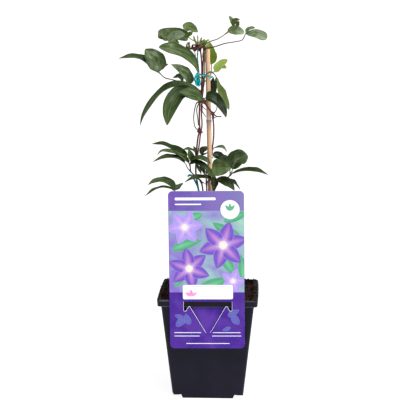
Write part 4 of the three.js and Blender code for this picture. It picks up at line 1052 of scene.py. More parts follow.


# A point is seen from the vantage, as sight() has it.
# A stem is [first radius, last radius, tone, points]: tone 0 is dark red, 0.5 brown, 0.72 olive, 0.86 pink
# and 1 dry. A leaf is [half width, outline, tilt in degrees, tone, youth, points along the midrib]: tone 0 is
# dark and 1 pale, partly the leaf's own colour and partly painted shade and painted sheen, and youth 1 is
# a fresh yellow-green.
VINES = {
    "vine_left": {
        "stems": [
            [1.3, 1.0, 0.05, [[-12, 8, 95], [-12, 7, 130], [-12.5, 6, 165], [-11.5, 5.5, 200],
                [-13, 4.5, 235], [-14, 3, 265], [-17.5, 2, 290], [-16.6, 2, 311], [-16, 2.8, 322],
                [-14.5, 2.4, 335], [-12.3, 1.6, 345], [-12.8, 1.6, 355], [-12.2, 1.6, 377], [-10.2, 2, 390],
                [-9.6, 2, 405], [-9.4, 2, 419], [-9.8, 1.4, 432], [-11.5, 0.6, 447], [-13, 0.4, 453]]],
            [1.0, 0.7, 0.42, [[-12, 0.5, 449.4], [-22, 1.5, 448.6], [-31, 3, 449.4], [-42, 5, 450.4],
                [-50, 7, 452], [-51.8, 8.4, 460.6]]],
            [0.7, 0.5, 0.6, [[-12.5, 0.5, 451], [-17, 1, 456.5], [-24, 2, 461], [-28.4, 3, 465.6],
                [-31, 3, 471.8]]],
            [1.1, 0.9, 0.76, [[-13.2, 0.4, 451.6], [-16.8, -0.6, 455], [-18.2, -1, 459],
                [-20, -1.6, 464.6]]],
            [0.9, 0.8, 0.88, [[-13.2, 0.4, 452], [-14.4, -0.4, 457], [-14.8, -2, 465.4]]],
            [1.2, 1.0, 0.7, [[-13, 0.4, 452], [-12.2, 1.2, 456], [-9.6, 2.4, 462.6]]],
            [1.2, 0.9, 0.2, [[-13, 0.4, 450], [-15, 0.8, 453], [-15.2, 1.2, 457.2]]],
            [1.1, 0.9, 0.1, [[-21.2, 1.4, 448.8], [-21.6, 1.2, 451], [-21.2, 1, 453.2]]],
            [1.0, 0.9, 0.74, [[-25.8, 2, 449], [-25.8, 1.7, 452.6], [-25.2, 1.4, 456.6]]],
            [0.9, 0.8, 0.1, [[-28.8, 2.6, 449.4], [-28.8, 2.4, 452], [-28.4, 2.2, 455]]],
            [0.6, 0.5, 0.84, [[-19.4, 1.2, 448.8], [-18.4, 1.6, 443], [-17.2, 2, 438.6]]],
            [0.9, 0.7, 0.5, [[-10.2, 2, 393], [-18, 4, 399.5], [-34, 8, 404.8], [-47, 12, 408.8],
                [-57, 14, 411.4], [-65, 16, 418.5]]],
            [0.7, 0.6, 0.72, [[-65, 16, 418.3], [-70, 17.4, 420.4], [-74.5, 19, 425.4]]],
            [0.8, 0.6, 0.74, [[-9.6, 2, 404], [-5.5, 7.4, 407], [0, 8.4, 410], [2.4, 8, 418],
                [2.8, 7.5, 430]]],
            [0.7, 0.6, 0.5, [[-0.8, 8.3, 409.6], [3.5, 9, 412], [5.6, 9, 411.8]]],
            [0.7, 0.6, 0.7, [[-16.4, 2.2, 309], [-12.5, 3.8, 310.6], [-10, 4.6, 312.6]]],
        ],
        "leaves": [
            [6, "ovate", 20, 0.62, 0.03, [[-51.8, 8.3, 459.6], [-55.6, 8.8, 463.4], [-61.5, 10.4, 468]]],
            [8.3, "round", 14, 0.66, 0.03, [[-26.8, 22, 462], [-38, 16, 466], [-52, 11.6, 466.4],
                [-65.6, 15, 466.2]]],
            [7, "oval", 12, 1.12, 0, [[-52.4, 8, 457], [-43, 1, 464.8], [-31, -5, 466.6]]],
            [2.8, "lance", 20, 0.8, 0.45, [[-51.6, 7.4, 457], [-45, 3, 458.4], [-38, 0, 455.6]]],
            [6.1, "ovate", 22, 0.72, 0.08, [[-31.4, 3, 471.4], [-26, 6, 475.6], [-14.4, 11, 469.4]]],
            [2.8, "lance", 25, 0.35, 0.2, [[-27.8, 2.8, 464.4], [-24.6, 1.2, 466.8], [-20.8, 0.4, 469.2]]],
            [13, "ovate", 12, 0.78, 0, [[-65.3, 16, 419.4], [-70, 23, 434], [-82, 33, 448]]],
            [9, "ovate", 66, 0.5, 0, [[-74.3, 19, 425], [-88, 26, 435], [-103, 34, 437], [-116, 40, 435.8]]],
            [3.2, "lance", 40, 0.85, 0, [[-64.7, 16, 418.6], [-60.5, 19, 424], [-52.5, 24, 429]]],
            [8.5, "ovate", 38, 0.9, 0, [[-26.5, 6.2, 402.5], [-28.5, 2, 412], [-37, -5, 420.5],
                [-49, -14, 428.3]]],
            [3.6, "lance", 40, 0.3, 0, [[-34, 8.2, 405.2], [-38.5, 13, 412.8], [-46.6, 18, 411.4]]],
            [9.4, "ovate", 8, 0.4, 0.45, [[2.6, 7.5, 428.5], [-0.2, 12, 441], [0.8, 19, 456.6]]],
            [3.6, "lance", 25, 0.12, 0, [[5.5, 9, 412], [4.6, 12, 402], [4.2, 16, 388]]],
            [4, "oval", 25, 0.25, 0, [[-10, 4.6, 312.5], [-8, 8, 318], [-2, 13, 322.4]]],
            [3, "lance", 72, 0.4, 0, [[-10.5, 4.3, 310.8], [-6, 6.4, 312.6], [-1, 9, 315.4]]],
        ],
    },
    "vine_right": {
        "stems": [
            [1.2, 0.9, 0.0, [[-10, -1, 95], [-10, -1, 130], [-9, -2.2, 165], [-10.5, -1.5, 200],
                [-12.2, -2.5, 235], [-14, -1.9, 265], [-17.3, -2, 290], [-15.2, -2, 311], [-13, -1.8, 325],
                [-11.2, -2, 340], [-9.4, -2.6, 350], [-10, -2.6, 365], [-9.6, -2.6, 378], [-8.2, -2.6, 395],
                [-8.2, -2, 418], [-7.8, -2.2, 433], [-7, -2.4, 448], [-8, -3, 453.5]]],
            [0.9, 0.7, 0.6, [[-8.2, -2.6, 407.4], [-6.6, -6.6, 410], [-4.7, -8.4, 413.8],
                [-2.6, -8.8, 416.8], [1, -8.8, 418.8], [4.6, -8.4, 417.8], [7.4, -8, 415], [9, -7.7, 412.2],
                [10.3, -7.4, 409.6]]],
            [0.8, 0.7, 0.52, [[-8.2, -2.6, 395], [-6.8, -4, 403], [-6.3, -4.2, 415], [-6.2, -4.2, 430],
                [-6.4, -4, 442], [-7, -3, 449]]],
            [1.2, 0.8, 0.3, [[-14.6, -2, 341.6], [-12.4, -2.6, 343.4], [-10.6, -2.8, 342.6],
                [-8.2, -3.2, 341]]],
            [0.9, 0.8, 0.35, [[-12.4, -2.6, 342], [-13.6, -3, 345], [-14.4, -3, 347.4]]],
            [0.6, 0.5, 0.7, [[2.6, -8.6, 418.7], [5, -8.3, 418.8], [7.4, -7.7, 419.6]]],
            [0.9, 0.7, 0.72, [[-8.2, -2.6, 407.4], [-9.8, -6.4, 410.2], [-13, -8.8, 413.8],
                [-15, -9, 418.2]]],
            [0.9, 0.6, 0.42, [[-7.6, -2.8, 451.5], [0, -2.4, 457], [10, 1, 460.5], [17, 5, 464.5],
                [24, 10, 470]]],
            [0.7, 0.5, 0.45, [[22, 8.6, 468], [26.5, 12, 472.4], [30.5, 14, 476.2]]],
            [0.6, 0.5, 0.8, [[30.5, 14, 476], [35, 13.6, 477.4], [39.6, 12.8, 475.4]]],
            [0.9, 0.6, 0.42, [[-7.4, -2.6, 446.4], [-3.6, -5.4, 449], [5, -8, 450.4], [20, -14, 455],
                [35, -21, 457.6], [42, -24, 459.6], [46.4, -26, 467.8]]],
            [0.8, 0.6, 0.74, [[-7.8, -2.8, 452], [-6, -3.5, 456.6], [-3, -4.6, 458.6]]],
            [0.8, 0.6, 0.3, [[-15.8, -2, 308.5], [-16.4, -4.2, 305.4], [-17.2, -5.2, 302.6],
                [-17.8, -5.4, 300.4]]],
            [0.6, 0.5, 0.4, [[-9.6, -2.6, 375.6], [-7, 0.8, 372.8], [-4, 4.4, 370.2]]],
            [0.6, 0.5, 0.4, [[-10, -2.6, 370.4], [-7.4, 0.8, 365.8], [-4, 4.4, 361.2]]],
        ],
        "leaves": [
            [8.2, "paddle", 24, 0.6, 0, [[-14.7, -9, 417.8], [-16.9, -12, 426.5], [-25, -17, 437.2],
                [-39, -24, 445.4], [-52, -29, 448.6], [-64.6, -33, 450.3]]],
            [6.2, "drop", 38, 0.7, 0.2, [[10.5, -7.4, 411], [11.2, -4, 402], [14.6, 1, 392.5],
                [19.8, 7, 382], [25.4, 13, 370.6]]],
            [2, "lance", 35, 0.02, 0, [[9, -7.7, 411.8], [8.6, -3, 402], [7.2, 2, 389]]],
            [5.4, "oval", 25, 1, 1, [[7, -7.7, 419.4], [13.4, -11, 426.6], [23.4, -15, 434.6]]],
            [2.7, "lance", 30, 1, 0.95, [[13.4, -11.2, 424.6], [18, -12.6, 425], [22.4, -14, 423.6]]],
            [3, "lance", 20, 0.78, 0.1, [[30.5, 14, 476.2], [29.2, 16, 483], [25, 19, 489.8]]],
            [3.2, "lance", 25, 0.66, 0.1, [[30.6, 14, 477.4], [32.6, 13, 482.8], [38.8, 9, 485.5]]],
            [2.4, "oval", 20, 0.1, 0.2, [[34.8, 13.6, 476.8], [36.6, 13, 480], [38, 12, 483.2]]],
            [6.2, "oval", 26, 0.98, 0, [[23.2, 10, 470.2], [33, 13, 471], [44.6, 18, 468.8]]],
            [3.2, "lance", 42, 0.95, 0.12, [[46.4, -26, 467.6], [51, -30, 473], [58.4, -36, 474.8]]],
            [6.3, "spoon", 22, 1.08, 0, [[46.6, -26, 467.4], [59, -30, 467], [73.6, -32, 461.4]]],
            [2.6, "lance", 45, 0.1, 0, [[-16.6, -4.6, 304], [-10.8, -8, 296.6], [-7.8, -9.6, 290.4],
                [-5.6, -11, 284.6]]],
            [2.5, "lance", 40, 1, 0, [[-18, -5.4, 300.6], [-15.4, -7, 296.8], [-12.4, -8.6, 291.4],
                [-10.6, -9.6, 286.4]]],
            [2.7, "lance", 50, 0.15, 0, [[-16.4, -3, 308], [-18.4, -3.6, 316], [-20.4, -4.4, 323.8]]],
            [4, "lance", 74, 0.6, 0, [[-15.2, -2.6, 312.5], [-22.6, -4, 318.4], [-35, -6, 318.8]]],
            [1.7, "lance", 25, 0.9, 0.7, [[-5.4, -3.6, 455.4], [-3, -4.4, 458], [0.4, -5, 459.6]]],
            [1.7, "lance", 25, 0.7, 0.6, [[-7.6, -3.2, 453.6], [-7.6, -4, 457], [-5.6, -4.6, 460.6]]],
            [1.5, "lance", 35, 0.35, 0.35, [[-10.6, -1, 452], [-9.4, -1.6, 456.4], [-7, -2.4, 459.4]]],
            [1.7, "oval", 30, 0.15, 0.1, [[-11, -3.8, 450], [-7.4, -5, 453.6], [-3.4, -5.4, 454.8]]],
            [1.4, "lance", 30, 0.5, 0.4, [[-16, -1, 452.6], [-17.6, -1.6, 457.4], [-20.4, -2, 461.6]]],
            [1.3, "lance", 30, 0.3, 0.3, [[-24.6, 1, 450], [-26.6, 0.6, 453.4], [-27.4, 0.2, 457.4]]],
            [2.4, "lance", 30, 0.1, 0.1, [[-5, -3.4, 449.6], [-8.4, -4.6, 451.4], [-12.6, -4.8, 451.8]]],
        ],
    },
    "vine_back": {
        "stems": [
            [1.2, 1.0, 0.1, [[7.4, 10, 95], [6.4, 9, 130], [5.6, 7.6, 165], [4, 7.6, 200], [2.6, 7, 235],
                [1.2, 6.6, 265], [1, 6.6, 298], [3.6, 5.6, 318], [5.5, 4.6, 334], [5.8, 3.4, 348],
                [4.9, 0.4, 359], [4.4, -3.8, 365.6], [0, -5.8, 371], [-3.4, -6.4, 375.4],
                [-8, -6.8, 383.2]]],
            [0.9, 0.6, 0.5, [[-7, -6.8, 381.5], [-8.6, -7.4, 387], [-11, -8.4, 392.6]]],
            [0.8, 0.6, 0.5, [[-7, -6.8, 381.5], [-6.6, -7.4, 384.4], [-4, -8, 386]]],
            [0.7, 0.8, 0.42, [[4.5, -3.4, 365.4], [7.4, -5, 363.4], [10, -6, 361.9], [14, -6.4, 361.9],
                [15.8, -6.4, 362.5]]],
            [0.7, 0.5, 0.42, [[4.5, -3.4, 365.6], [7.8, -4.4, 368.2], [9.6, -5.4, 371.6], [9.8, -6, 375.6]]],
            [0.6, 0.5, 0.42, [[4.7, -0.6, 360.4], [6.2, -3.8, 360.2], [8.4, -5.4, 361], [10.2, -6, 361.9]]],
            [0.9, 0.7, 0.56, [[-6.4, -6.8, 380.4], [-15.6, -7.6, 379.6], [-18.6, -7.4, 372],
                [-20, -6.6, 358], [-18, -5.6, 347.6], [-14, -4.8, 343.6]]],
            [0.8, 0.6, 0.54, [[-12.4, -7.4, 380], [-16, -5.8, 372], [-14.8, -5.2, 359], [-14, -5, 350]]],
            [0.7, 0.6, 0.5, [[1.2, 6.4, 304], [3.4, 6.8, 307.6], [5, 6.8, 310]]],
            [0.7, 0.6, 0.5, [[3, 5.8, 314], [4.4, 7.4, 318.4], [5.8, 8, 320.9]]],
        ],
        "leaves": [
            [9, "lance", 66, 0.42, 0, [[-10.6, -8.4, 392], [-20, -13, 398], [-38, -16, 401.4],
                [-50, -16, 399], [-62, -14, 391.6], [-76, -11, 374.8], [-85, -8, 361], [-89.5, -6, 349.6]]],
            [10.9, "drop", 20, 0.45, 0, [[-8.6, -7.2, 383.6], [-22, -15, 391], [-37, -25, 391.6],
                [-46.4, -33, 380], [-51.6, -38, 366], [-54.4, -42, 350]]],
            [8.2, "drop", 25, 0.55, 0, [[-8, -7.6, 382.8], [-18, -20, 388.6], [-28, -29, 391.2],
                [-38.4, -36, 393.4]]],
            [7.8, "ovate", 28, 0.02, 0, [[-4.6, -8, 386], [2, -10, 386.6], [9, -13, 381.8], [15, -17, 374.8],
                [19, -20.6, 367.6], [21.5, -24, 360.4]]],
            [5.4, "lance", 30, 0.04, 0, [[4.4, 6.8, 310.6], [9, 9, 312.2], [16, 12, 308.2],
                [21.6, 14.6, 301.6]]],
            [4.6, "lance", 38, 0.12, 0, [[6, 6.8, 309], [15, 14, 308.4], [21, 18, 306.8], [28, 22, 301.4]]],
            [3.4, "spoon", 66, 0.6, 0, [[5.6, 8, 320.8], [12, 12, 322], [18, 16, 321.2], [22.4, 20, 316.6]]],
        ],
    },
    "vine_low_left": {
        "stems": [
            [1.2, 1.0, 0.05, [[-3, -10.4, 95], [-4, -10, 130], [-6.6, -9.2, 165], [-5.4, -9.6, 200],
                [-7.6, -8.4, 235], [-8, -8.2, 262], [-11, -8.2, 277.6], [-17, -8.8, 283],
                [-20.6, -9.4, 286]]],
            [0.8, 0.6, 0.45, [[-19.6, -9.2, 285], [-22, -9.8, 288], [-25.2, -10.4, 291.4],
                [-28.6, -11, 295.4], [-30.2, -11.6, 299.4], [-32.4, -12, 302.4]]],
            [0.7, 0.6, 0.5, [[-24.6, -10.2, 290.8], [-24.4, -10, 294.4], [-25.4, -9.6, 299],
                [-28, -9, 304.4], [-31, -9, 309.6]]],
            [0.7, 0.5, 0.7, [[-25.2, -9.6, 298], [-24.4, -8.6, 302], [-22.6, -7.6, 306.2]]],
            [0.7, 0.5, 0.42, [[-11, -8.2, 277.6], [-8, -8.6, 275.8], [-5.6, -8.4, 274.4]]],
            [1.0, 0.7, 0.5, [[-5.6, -9.6, 206], [-12, -14, 228], [-24, -19, 246], [-38, -22, 257],
                [-46, -22, 266]]],
        ],
        "leaves": [
            [7.6, "ovate", 62, 0.36, 0.03, [[-29.4, -9, 309], [-40, -4, 315.6], [-50, 2, 320.8],
                [-61, 8, 325.4], [-74.4, 15, 326]]],
            [4, "ovate", 50, 0.5, 0, [[-26, -9, 302], [-33, -12, 307.6], [-42, -15, 313], [-52, -19, 316.4],
                [-62, -23, 316.6], [-67.4, -25, 311.4]]],
            [6.6, "ovate", 70, 0.1, 0.05, [[-31.4, -12, 301.4], [-41, -17, 307], [-51, -26, 308.4],
                [-62, -34, 306.8], [-72.8, -42, 302.8]]],
            [3.9, "oval", 20, 0.28, 0.05, [[-22.6, -8, 305.6], [-24.6, -11.4, 312], [-27, -13, 318.8]]],
            [5.6, "lance", 56, 0.34, 0, [[-25, -9, 304], [-17, -13.4, 307], [-7, -16, 305.8],
                [2, -18, 300.2]]],
            [4.4, "lance", 40, 0.08, 0, [[-25.2, -9.6, 300.4], [-17, -15, 302.2], [-9, -18.4, 298.6],
                [-3, -20, 294], [2.6, -20.6, 289.4]]],
            [6.6, "ovate", 50, 0.32, 0.02, [[-46, -22, 266.4], [-50.6, -27, 273], [-58, -33, 276.6],
                [-66, -39, 277.6], [-74, -46, 275.6], [-79.4, -50, 272.4]]],
            [3.6, "lance", 66, 0.3, 0.1, [[-46, -22, 266.4], [-54, -20, 268.6], [-62, -18, 269.2],
                [-72, -13, 265.6], [-83.4, -6, 258]]],
            [3.8, "ovate", 35, 0.35, 0, [[-46, -22, 265.6], [-41, -18, 269.4], [-34, -12, 275]]],
        ],
    },
    "vine_low_right": {
        "stems": [
            [1.2, 0.9, 0.05, [[2, -8.4, 95], [1, -8, 130], [-1.6, -8, 165], [-1, -7, 200], [-3.6, -6.6, 235],
                [-3.2, -5.6, 265], [-4, -5.4, 284], [-4.2, -5.2, 300]]],
            [0.9, 0.7, 0.45, [[-3.8, -5.6, 275], [-1, -10.4, 278], [4.6, -14.6, 280.4], [12, -16.6, 280.6],
                [19, -19, 280.6], [24, -21, 282.6], [28.2, -22, 287]]],
            [0.7, 0.6, 0.5, [[28.2, -22, 287], [29.4, -20.4, 290.6], [30, -18.8, 294]]],
            [0.7, 0.6, 0.7, [[28.2, -22, 287], [26.8, -23, 290.4], [27.6, -23.6, 295.6]]],
        ],
        "leaves": [
            [4.8, "oval", 30, 0.55, 0.1, [[-3.8, -5.6, 296], [-0.6, -9, 290.6], [3.4, -12, 285.8],
                [8, -14, 281.6]]],
            [4.7, "ovate", 30, 0.22, 0.04, [[4.4, -15.4, 283.4], [6, -17, 275.6], [4.8, -19, 262.4]]],
            [6, "ovate", 66, 0.05, 0.04, [[3.4, -14.6, 280.6], [-9, -20, 282.2], [-21, -23, 280.8],
                [-32, -26, 276.2]]],
            [11.4, "spoon", 6, 0.62, 0.04, [[28.4, -23.6, 296.2], [17, -25, 295.8], [3.6, -23, 295.4]]],
            [11.8, "oval", 14, 0.14, 0.03, [[30, -18.6, 293.6], [34.4, -14, 304.6], [48.8, -5, 313]]],
            [6.2, "lance", 66, 0.1, 0.03, [[28.6, -22, 287.4], [43, -30, 291.4], [60, -40, 291.2],
                [76, -49, 286.8]]],
            [6.7, "lance", 32, 0.08, 0.03, [[8.6, -15.8, 280], [17, -22, 278.6], [25, -29, 273.6],
                [32.8, -36, 265.8]]],
            [4, "lance", 68, 0.35, 0, [[22, -20, 281.2], [28, -19.6, 278.4], [34, -18, 274],
                [40.2, -15, 267]]],
        ],
    },
}

BLADE_FOLD = math.radians(16)
BLADE_WAVE = 0.8  # how far the two halves rise and fall along the leaf
BLADE_BLUNT = 0.5  # what is added to the half width, also at the ends
BLADE_NIBBLE = 0.05  # how uneven the edge is
BLADE_RIPPLE = 0.045  # height of the small waves at the edge, in half widths
VEIN_REACH = 0.045  # how wide a vein's groove is, across half a blade
# Outlines of leaves: how slowly each widens from its base, and how slowly it narrows to its tip.
BLADE_OUTLINES = {"ovate": (0.45, 0.9), "oval": (0.55, 0.65), "round": (0.34, 0.3), "lance": (0.9, 0.95),
                  "drop": (1.15, 0.9), "paddle": (1.1, 0.66), "spoon": (0.9, 0.48)}
BLADE_ROWS = 34
BLADE_ROW_EVENNESS = 0.45  # 1 for rows at equal steps, and less where they gather at both ends
BLADE_MIDDLE_THICKNESS = 0.62
BLADE_EDGE_THICKNESS = 0.2
BLADE_COLUMNS = {0.14, 0.2, 0.27, 0.53, 0.6, 0.82, 0.91, 0.965, 1.0}  # across half a blade, apart from veins
VEIN_SPACING = [0.04, 0.09]  # further columns on both sides of each vein


def across_samples():
    half = set(BLADE_COLUMNS)
    for vein in VEINS:
        half |= {vein, *(vein + s for s in VEIN_SPACING), *(abs(vein - s) for s in VEIN_SPACING)}
    half = sorted(round(v, 3) for v in half)
    return np.array([-v for v in reversed(half) if v] + half)


def blade_outline(t, name):
    """Half width along a leaf, from 0 at its base and its tip to 1 at the place where it is widest."""
    rise, fall = BLADE_OUTLINES[name]
    widest = rise / (rise + fall)
    return t**rise * (1 - t) ** fall / (widest**rise * (1 - widest) ** fall)


def blade_mesh(half_width, outline_name, tilt_degrees, points, index):
    """One leaf on the lines of its solid: corners, faces, UV, and 1 for each face of its lower skin."""
    shares = (1 - np.cos(np.linspace(0, math.pi, BLADE_ROWS + 1))) / 2
    even = np.linspace(0, 1, BLADE_ROWS + 1)
    shares = (1 - BLADE_ROW_EVENNESS) * shares + BLADE_ROW_EVENNESS * even
    line = [sight(p) for p in points]
    middle, along = along_line(line, shares)
    tilt = math.radians(tilt_degrees)
    chord = line[-1] - line[0]
    upright = math.copysign(1, np.cross(VANTAGE - line[0], chord)[2])
    view = unit(VANTAGE - middle)
    side_on = unit(np.cross(view, along)) * upright
    facing = unit(view - along * np.sum(view * along, -1, keepdims=True))
    normal = unit(facing * math.cos(tilt) + side_on * math.sin(tilt))
    side = unit(np.cross(along, normal))
    t = shares[:, None]
    outline = blade_outline(t, outline_name)
    across = across_samples()[None, :]
    far = np.abs(across)
    reach = half_width * outline + BLADE_BLUNT * (0.4 + 0.6 * (t < 0.5))
    nibble = np.array([[noise.noise(Vector((share * 7 + index * 3.7, sign * 2.3, 0))) for sign in (-1, 1)]
                       for share in shares])
    reach = reach * (1 + BLADE_NIBBLE * np.where(across < 0, nibble[:, :1], nibble[:, 1:]) * far**2)
    wave = BLADE_WAVE * outline * np.sin(9 * t + index)
    lift = 1.5 * reach * math.sin(BLADE_FOLD) * far**1.3 + np.sign(across) * wave * far**1.6
    turns = 2 * math.pi * (2.6 * t + index * 0.31) + 1.4 * np.sign(across)
    ripple = BLADE_RIPPLE * half_width * np.sin(turns) * far**3
    lift = lift + ripple * np.minimum(outline, 1)
    groove = sum(depth * np.exp(-((far - vein) / VEIN_REACH) ** 2) for vein, depth in zip(VEINS, VEIN_DEPTHS))
    lift = lift - groove * np.minimum(outline, 1) * min(1, half_width / 7)
    flat = reach * across * math.cos(BLADE_FOLD)
    sheet = middle[:, None, :] + side[:, None, :] * flat[..., None] + normal[:, None, :] * lift[..., None]
    thick = (BLADE_EDGE_THICKNESS + (BLADE_MIDDLE_THICKNESS - BLADE_EDGE_THICKNESS) * (1 - far**2)) / 2
    upper = sheet + normal[:, None, :] * thick[..., None]
    lower = sheet - normal[:, None, :] * thick[..., None]
    rows, columns = upper.shape[:2]
    corners = np.concatenate([upper.reshape(-1, 3), lower.reshape(-1, 3)])
    uv = np.stack(np.broadcast_arrays(t, (across + 1) / 2), -1).reshape(-1, 2)
    half_count = rows * columns
    faces, picks = [], []
    for i in range(rows - 1):
        for j in range(columns - 1):
            a, b = i * columns + j, i * columns + j + 1
            c, d = b + columns, a + columns
            faces += [(a, b, c, d), (half_count + a, half_count + d, half_count + c, half_count + b)]
            picks += [0, 1]
    border = [i * columns + j for i, j in grid_border(rows - 1, columns - 1)]
    faces += [(b, a, half_count + a, half_count + b) for a, b in zip(border, border[1:] + border[:1])]
    picks += [0] * len(border)
    return corners, faces, np.concatenate([uv, uv]), picks


def make_blades(name, leaves, upper_look, under_look):
    corners, faces, uvs, picks, tones, youths = [], [], [], [], [], []
    count = 0
    for index, (half_width, outline, tilt, tone, youth, points) in enumerate(leaves):
        skin, skin_faces, uv, which = blade_mesh(half_width, outline, tilt, points, index)
        corners.append(skin)
        faces += [tuple(v + count for v in face) for face in skin_faces]
        uvs.append(uv)
        picks += which
        tones += [tone] * len(skin)
        youths += [youth] * len(skin)
        count += len(skin)
    blades = make_piece(name, np.concatenate(corners), faces, [upper_look, under_look], picks)
    uv = np.concatenate(uvs)
    layer = blades.data.uv_layers.new(name="blade")
    index = np.empty(len(blades.data.loops), np.int32)
    blades.data.loops.foreach_get("vertex_index", index)
    layer.data.foreach_set("uv", uv[index].astype(np.float32).ravel())
    for attribute, values in (("tone", tones), ("youth", youths)):
        blades.data.attributes.new(attribute, "FLOAT", "POINT").data.foreach_set("value", values)
    return blades


def stem_tree(look):
    """Turns a chain of edges into a ribbed stem, as thick at each point as its attribute says."""
    tree = new_tree("ribbed_stem", {"Ribs": "Int", "Groove": "Float"})
    add, link = tree.nodes.new, tree.links.new
    given, result = add("NodeGroupInput"), add("NodeGroupOutput")
    kinds = ("MeshToCurve", "CurveStar", "CurveToMesh")
    to_curve, profile, skin = (add("GeometryNode" + kind) for kind in kinds)
    profile.inputs["Outer Radius"].default_value = 1
    link(given.outputs["Ribs"], profile.inputs["Points"])
    link(given.outputs["Groove"], profile.inputs["Inner Radius"])
    thickness = add("GeometryNodeInputNamedAttribute")
    thickness.inputs["Name"].default_value = "thickness"
    link(given.outputs["Geometry"], to_curve.inputs["Mesh"])
    link(to_curve.outputs[0], skin.inputs["Curve"])
    link(profile.outputs["Curve"], skin.inputs["Profile Curve"])
    link(thickness.outputs["Attribute"], skin.inputs["Scale"])
    skin.inputs["Fill Caps"].default_value = True
    kinds = ("SetShadeSmooth", "RealizeInstances", "SetMaterial")
    smooth, realize, finish = (add("GeometryNode" + kind) for kind in kinds)
    finish.inputs["Material"].default_value = look
    link(skin.outputs[0], smooth.inputs[0])
    link(smooth.outputs[0], realize.inputs[0])
    link(realize.outputs[0], finish.inputs["Geometry"])
    link(finish.outputs[0], result.inputs[0])
    return tree


def make_chains(name, chains):
    """A mesh of edge chains: each chain is (points in mm, thickness in mm at each, tone)."""
    corners, edges, thick, tones = [], [], [], []
    for points, thickness, tone in chains:
        start = len(corners)
        corners += [tuple(p) for p in points * MM]
        edges += [(start + i, start + i + 1) for i in range(len(points) - 1)]
        thick += [v * MM for v in thickness]
        tones += [tone] * len(points)
    mesh = bpy.data.meshes.new(name)
    mesh.from_pydata(corners, edges, [])
    for attribute, values in (("thickness", thick), ("tone", tones)):
        mesh.attributes.new(attribute, "FLOAT", "POINT").data.foreach_set("value", values)
    return add_object(name, mesh)


STEM_STEP = 1.3  # millimetres between the points of a stem
JOINT_SWELL = 0.55  # how much thicker a stem is where another leaves it
JOINT_REACH = 2.6
STEM_TIP = 0.75  # how thick a stem's last point is beside the one before
STEM_SECTION = {"Ribs": 6, "Groove": 0.86}


def stem_chains(stems):
    forks = [sight(points[0]) for _, _, _, points in stems[1:]]
    chains = []
    for first, last, tone, points in stems:
        line = [sight(p) for p in points]
        length = smooth_line(line)[2]
        shares = np.linspace(0, 1, max(8, round(length / STEM_STEP)) + 1)
        place, _ = along_line(line, shares)
        thickness = first + (last - first) * shares
        for fork in forks:
            near = np.linalg.norm(place - fork, axis=1)
            thickness = thickness * (1 + JOINT_SWELL * np.exp(-((near / JOINT_REACH) ** 2)))
        thickness[-1] *= STEM_TIP
        chains.append((place, thickness, tone))
    return chains


def make_vine(name, plant, looks):
    blades = make_blades(name + "_leafage", plant["leaves"], looks["upper"], looks["under"])
    stems = make_chains(name + "_stems", stem_chains(plant["stems"]))
    run_tree(stems, looks["stem_tree"], **STEM_SECTION)
    return join([blades, stems])


# ---- Ties ----------------------------------------------------------------------------------------
# A ring is (middle, half sizes along x and y, rise to the right). A strand is [half width, twist, points].
TIES = {
    "tie_upper": {
        "ring": ([-4.2, 0, 414.2], [9, 6.1], -0.18),
        "strands": [
            [1.8, 1.2, [[-13.2, -0.8, 415], [-15.4, -3.4, 416], [-17.4, -5, 412.8], [-19, -5.2, 408.8],
                [-17.6, -4.8, 406.8], [-15.8, -4.2, 409.4]]],
            [1.8, 2.2, [[-13.4, -1.6, 413.4], [-15.6, -4, 408.6], [-16, -4.8, 404], [-14, -4.8, 400.8],
                [-13, -4.4, 403.4], [-14.2, -4, 406.8]]],
            [1.6, 3.2, [[-14.4, -2.6, 412.6], [-12.8, -4.4, 408], [-12.4, -5, 403.6], [-14.6, -5.6, 400.8],
                [-17, -5.4, 404], [-15.4, -4.6, 409]]],
            [0.8, 0.4, [[-12.9, 0.4, 415.6], [-13.8, 4.4, 424], [-15, 5.4, 436], [-14.6, 5.4, 447]]],
        ],
    },
    "tie_lower": {
        "ring": ([-4.6, -0.9, 243], [13.4, 12.1], 0),
        "strands": [
            [1.2, 0.6, [[-17.5, -3.4, 242.2], [-16.9, -5.6, 247], [-15.6, -6, 255], [-13.6, -5.2, 265],
                [-17, -5.2, 275], [-19.6, -5.2, 280], [-22, -5.6, 284.6], [-25.4, -6.4, 285.6],
                [-28.2, -7.4, 283.6]]],
        ],
    },
}
TAPE_THICKNESS = 0.55
TAPE_STEP = 0.7  # millimetres between the sections of a tape
TAPE_PINCH = 0.18  # how much a tape draws in here and there
TAPE_START_TURN = 1.2  # radians that a strand is turned about its length where it starts
TAPE_SECTION = ((-1, 0), (-0.9, 1), (-0.45, 1.25), (0, 1.3), (0.45, 1.25), (0.9, 1), (1, 0), (0.9, -1),
                (0.45, -0.75), (0, -0.7), (-0.45, -0.75), (-0.9, -1))  # in half widths and half thicknesses
RING_TAPE_WIDTH = 2.5
STRAND_SPREAD = 2.4  # how much wider a strand's tape is than the half width of its solid


def tape(points, width, twist, look, closed=False):
    """A soft flat tape along a line, slightly cupped, that turns about its length by twist radians."""
    length = smooth_line(points, closed)[2]
    steps = max(16, round(length / TAPE_STEP))
    shares = np.linspace(0, 1, steps + 1)[: steps if closed else None]
    place, along = along_line(points, shares, closed)
    normal = unit(np.cross(along[0], [0.3, -1, 0.2]))
    rings = []
    for i, share in enumerate(shares):
        normal = unit(normal - along[i] * np.dot(normal, along[i]))
        across = np.cross(along[i], normal)
        turn = TAPE_START_TURN + twist * share
        if closed:
            turn = math.pi / 2 + 0.35 * math.sin(2 * math.pi * share * 2)
        wide = across * math.cos(turn) + normal * math.sin(turn)
        flat = np.cross(wide, along[i])
        pinch = 1 - TAPE_PINCH * math.sin(share * 23) ** 2
        rings.append([place[i] + wide * u * width / 2 * pinch + flat * v * TAPE_THICKNESS / 2
                      for u, v in TAPE_SECTION])
    return loft("tape", rings, look, closed)


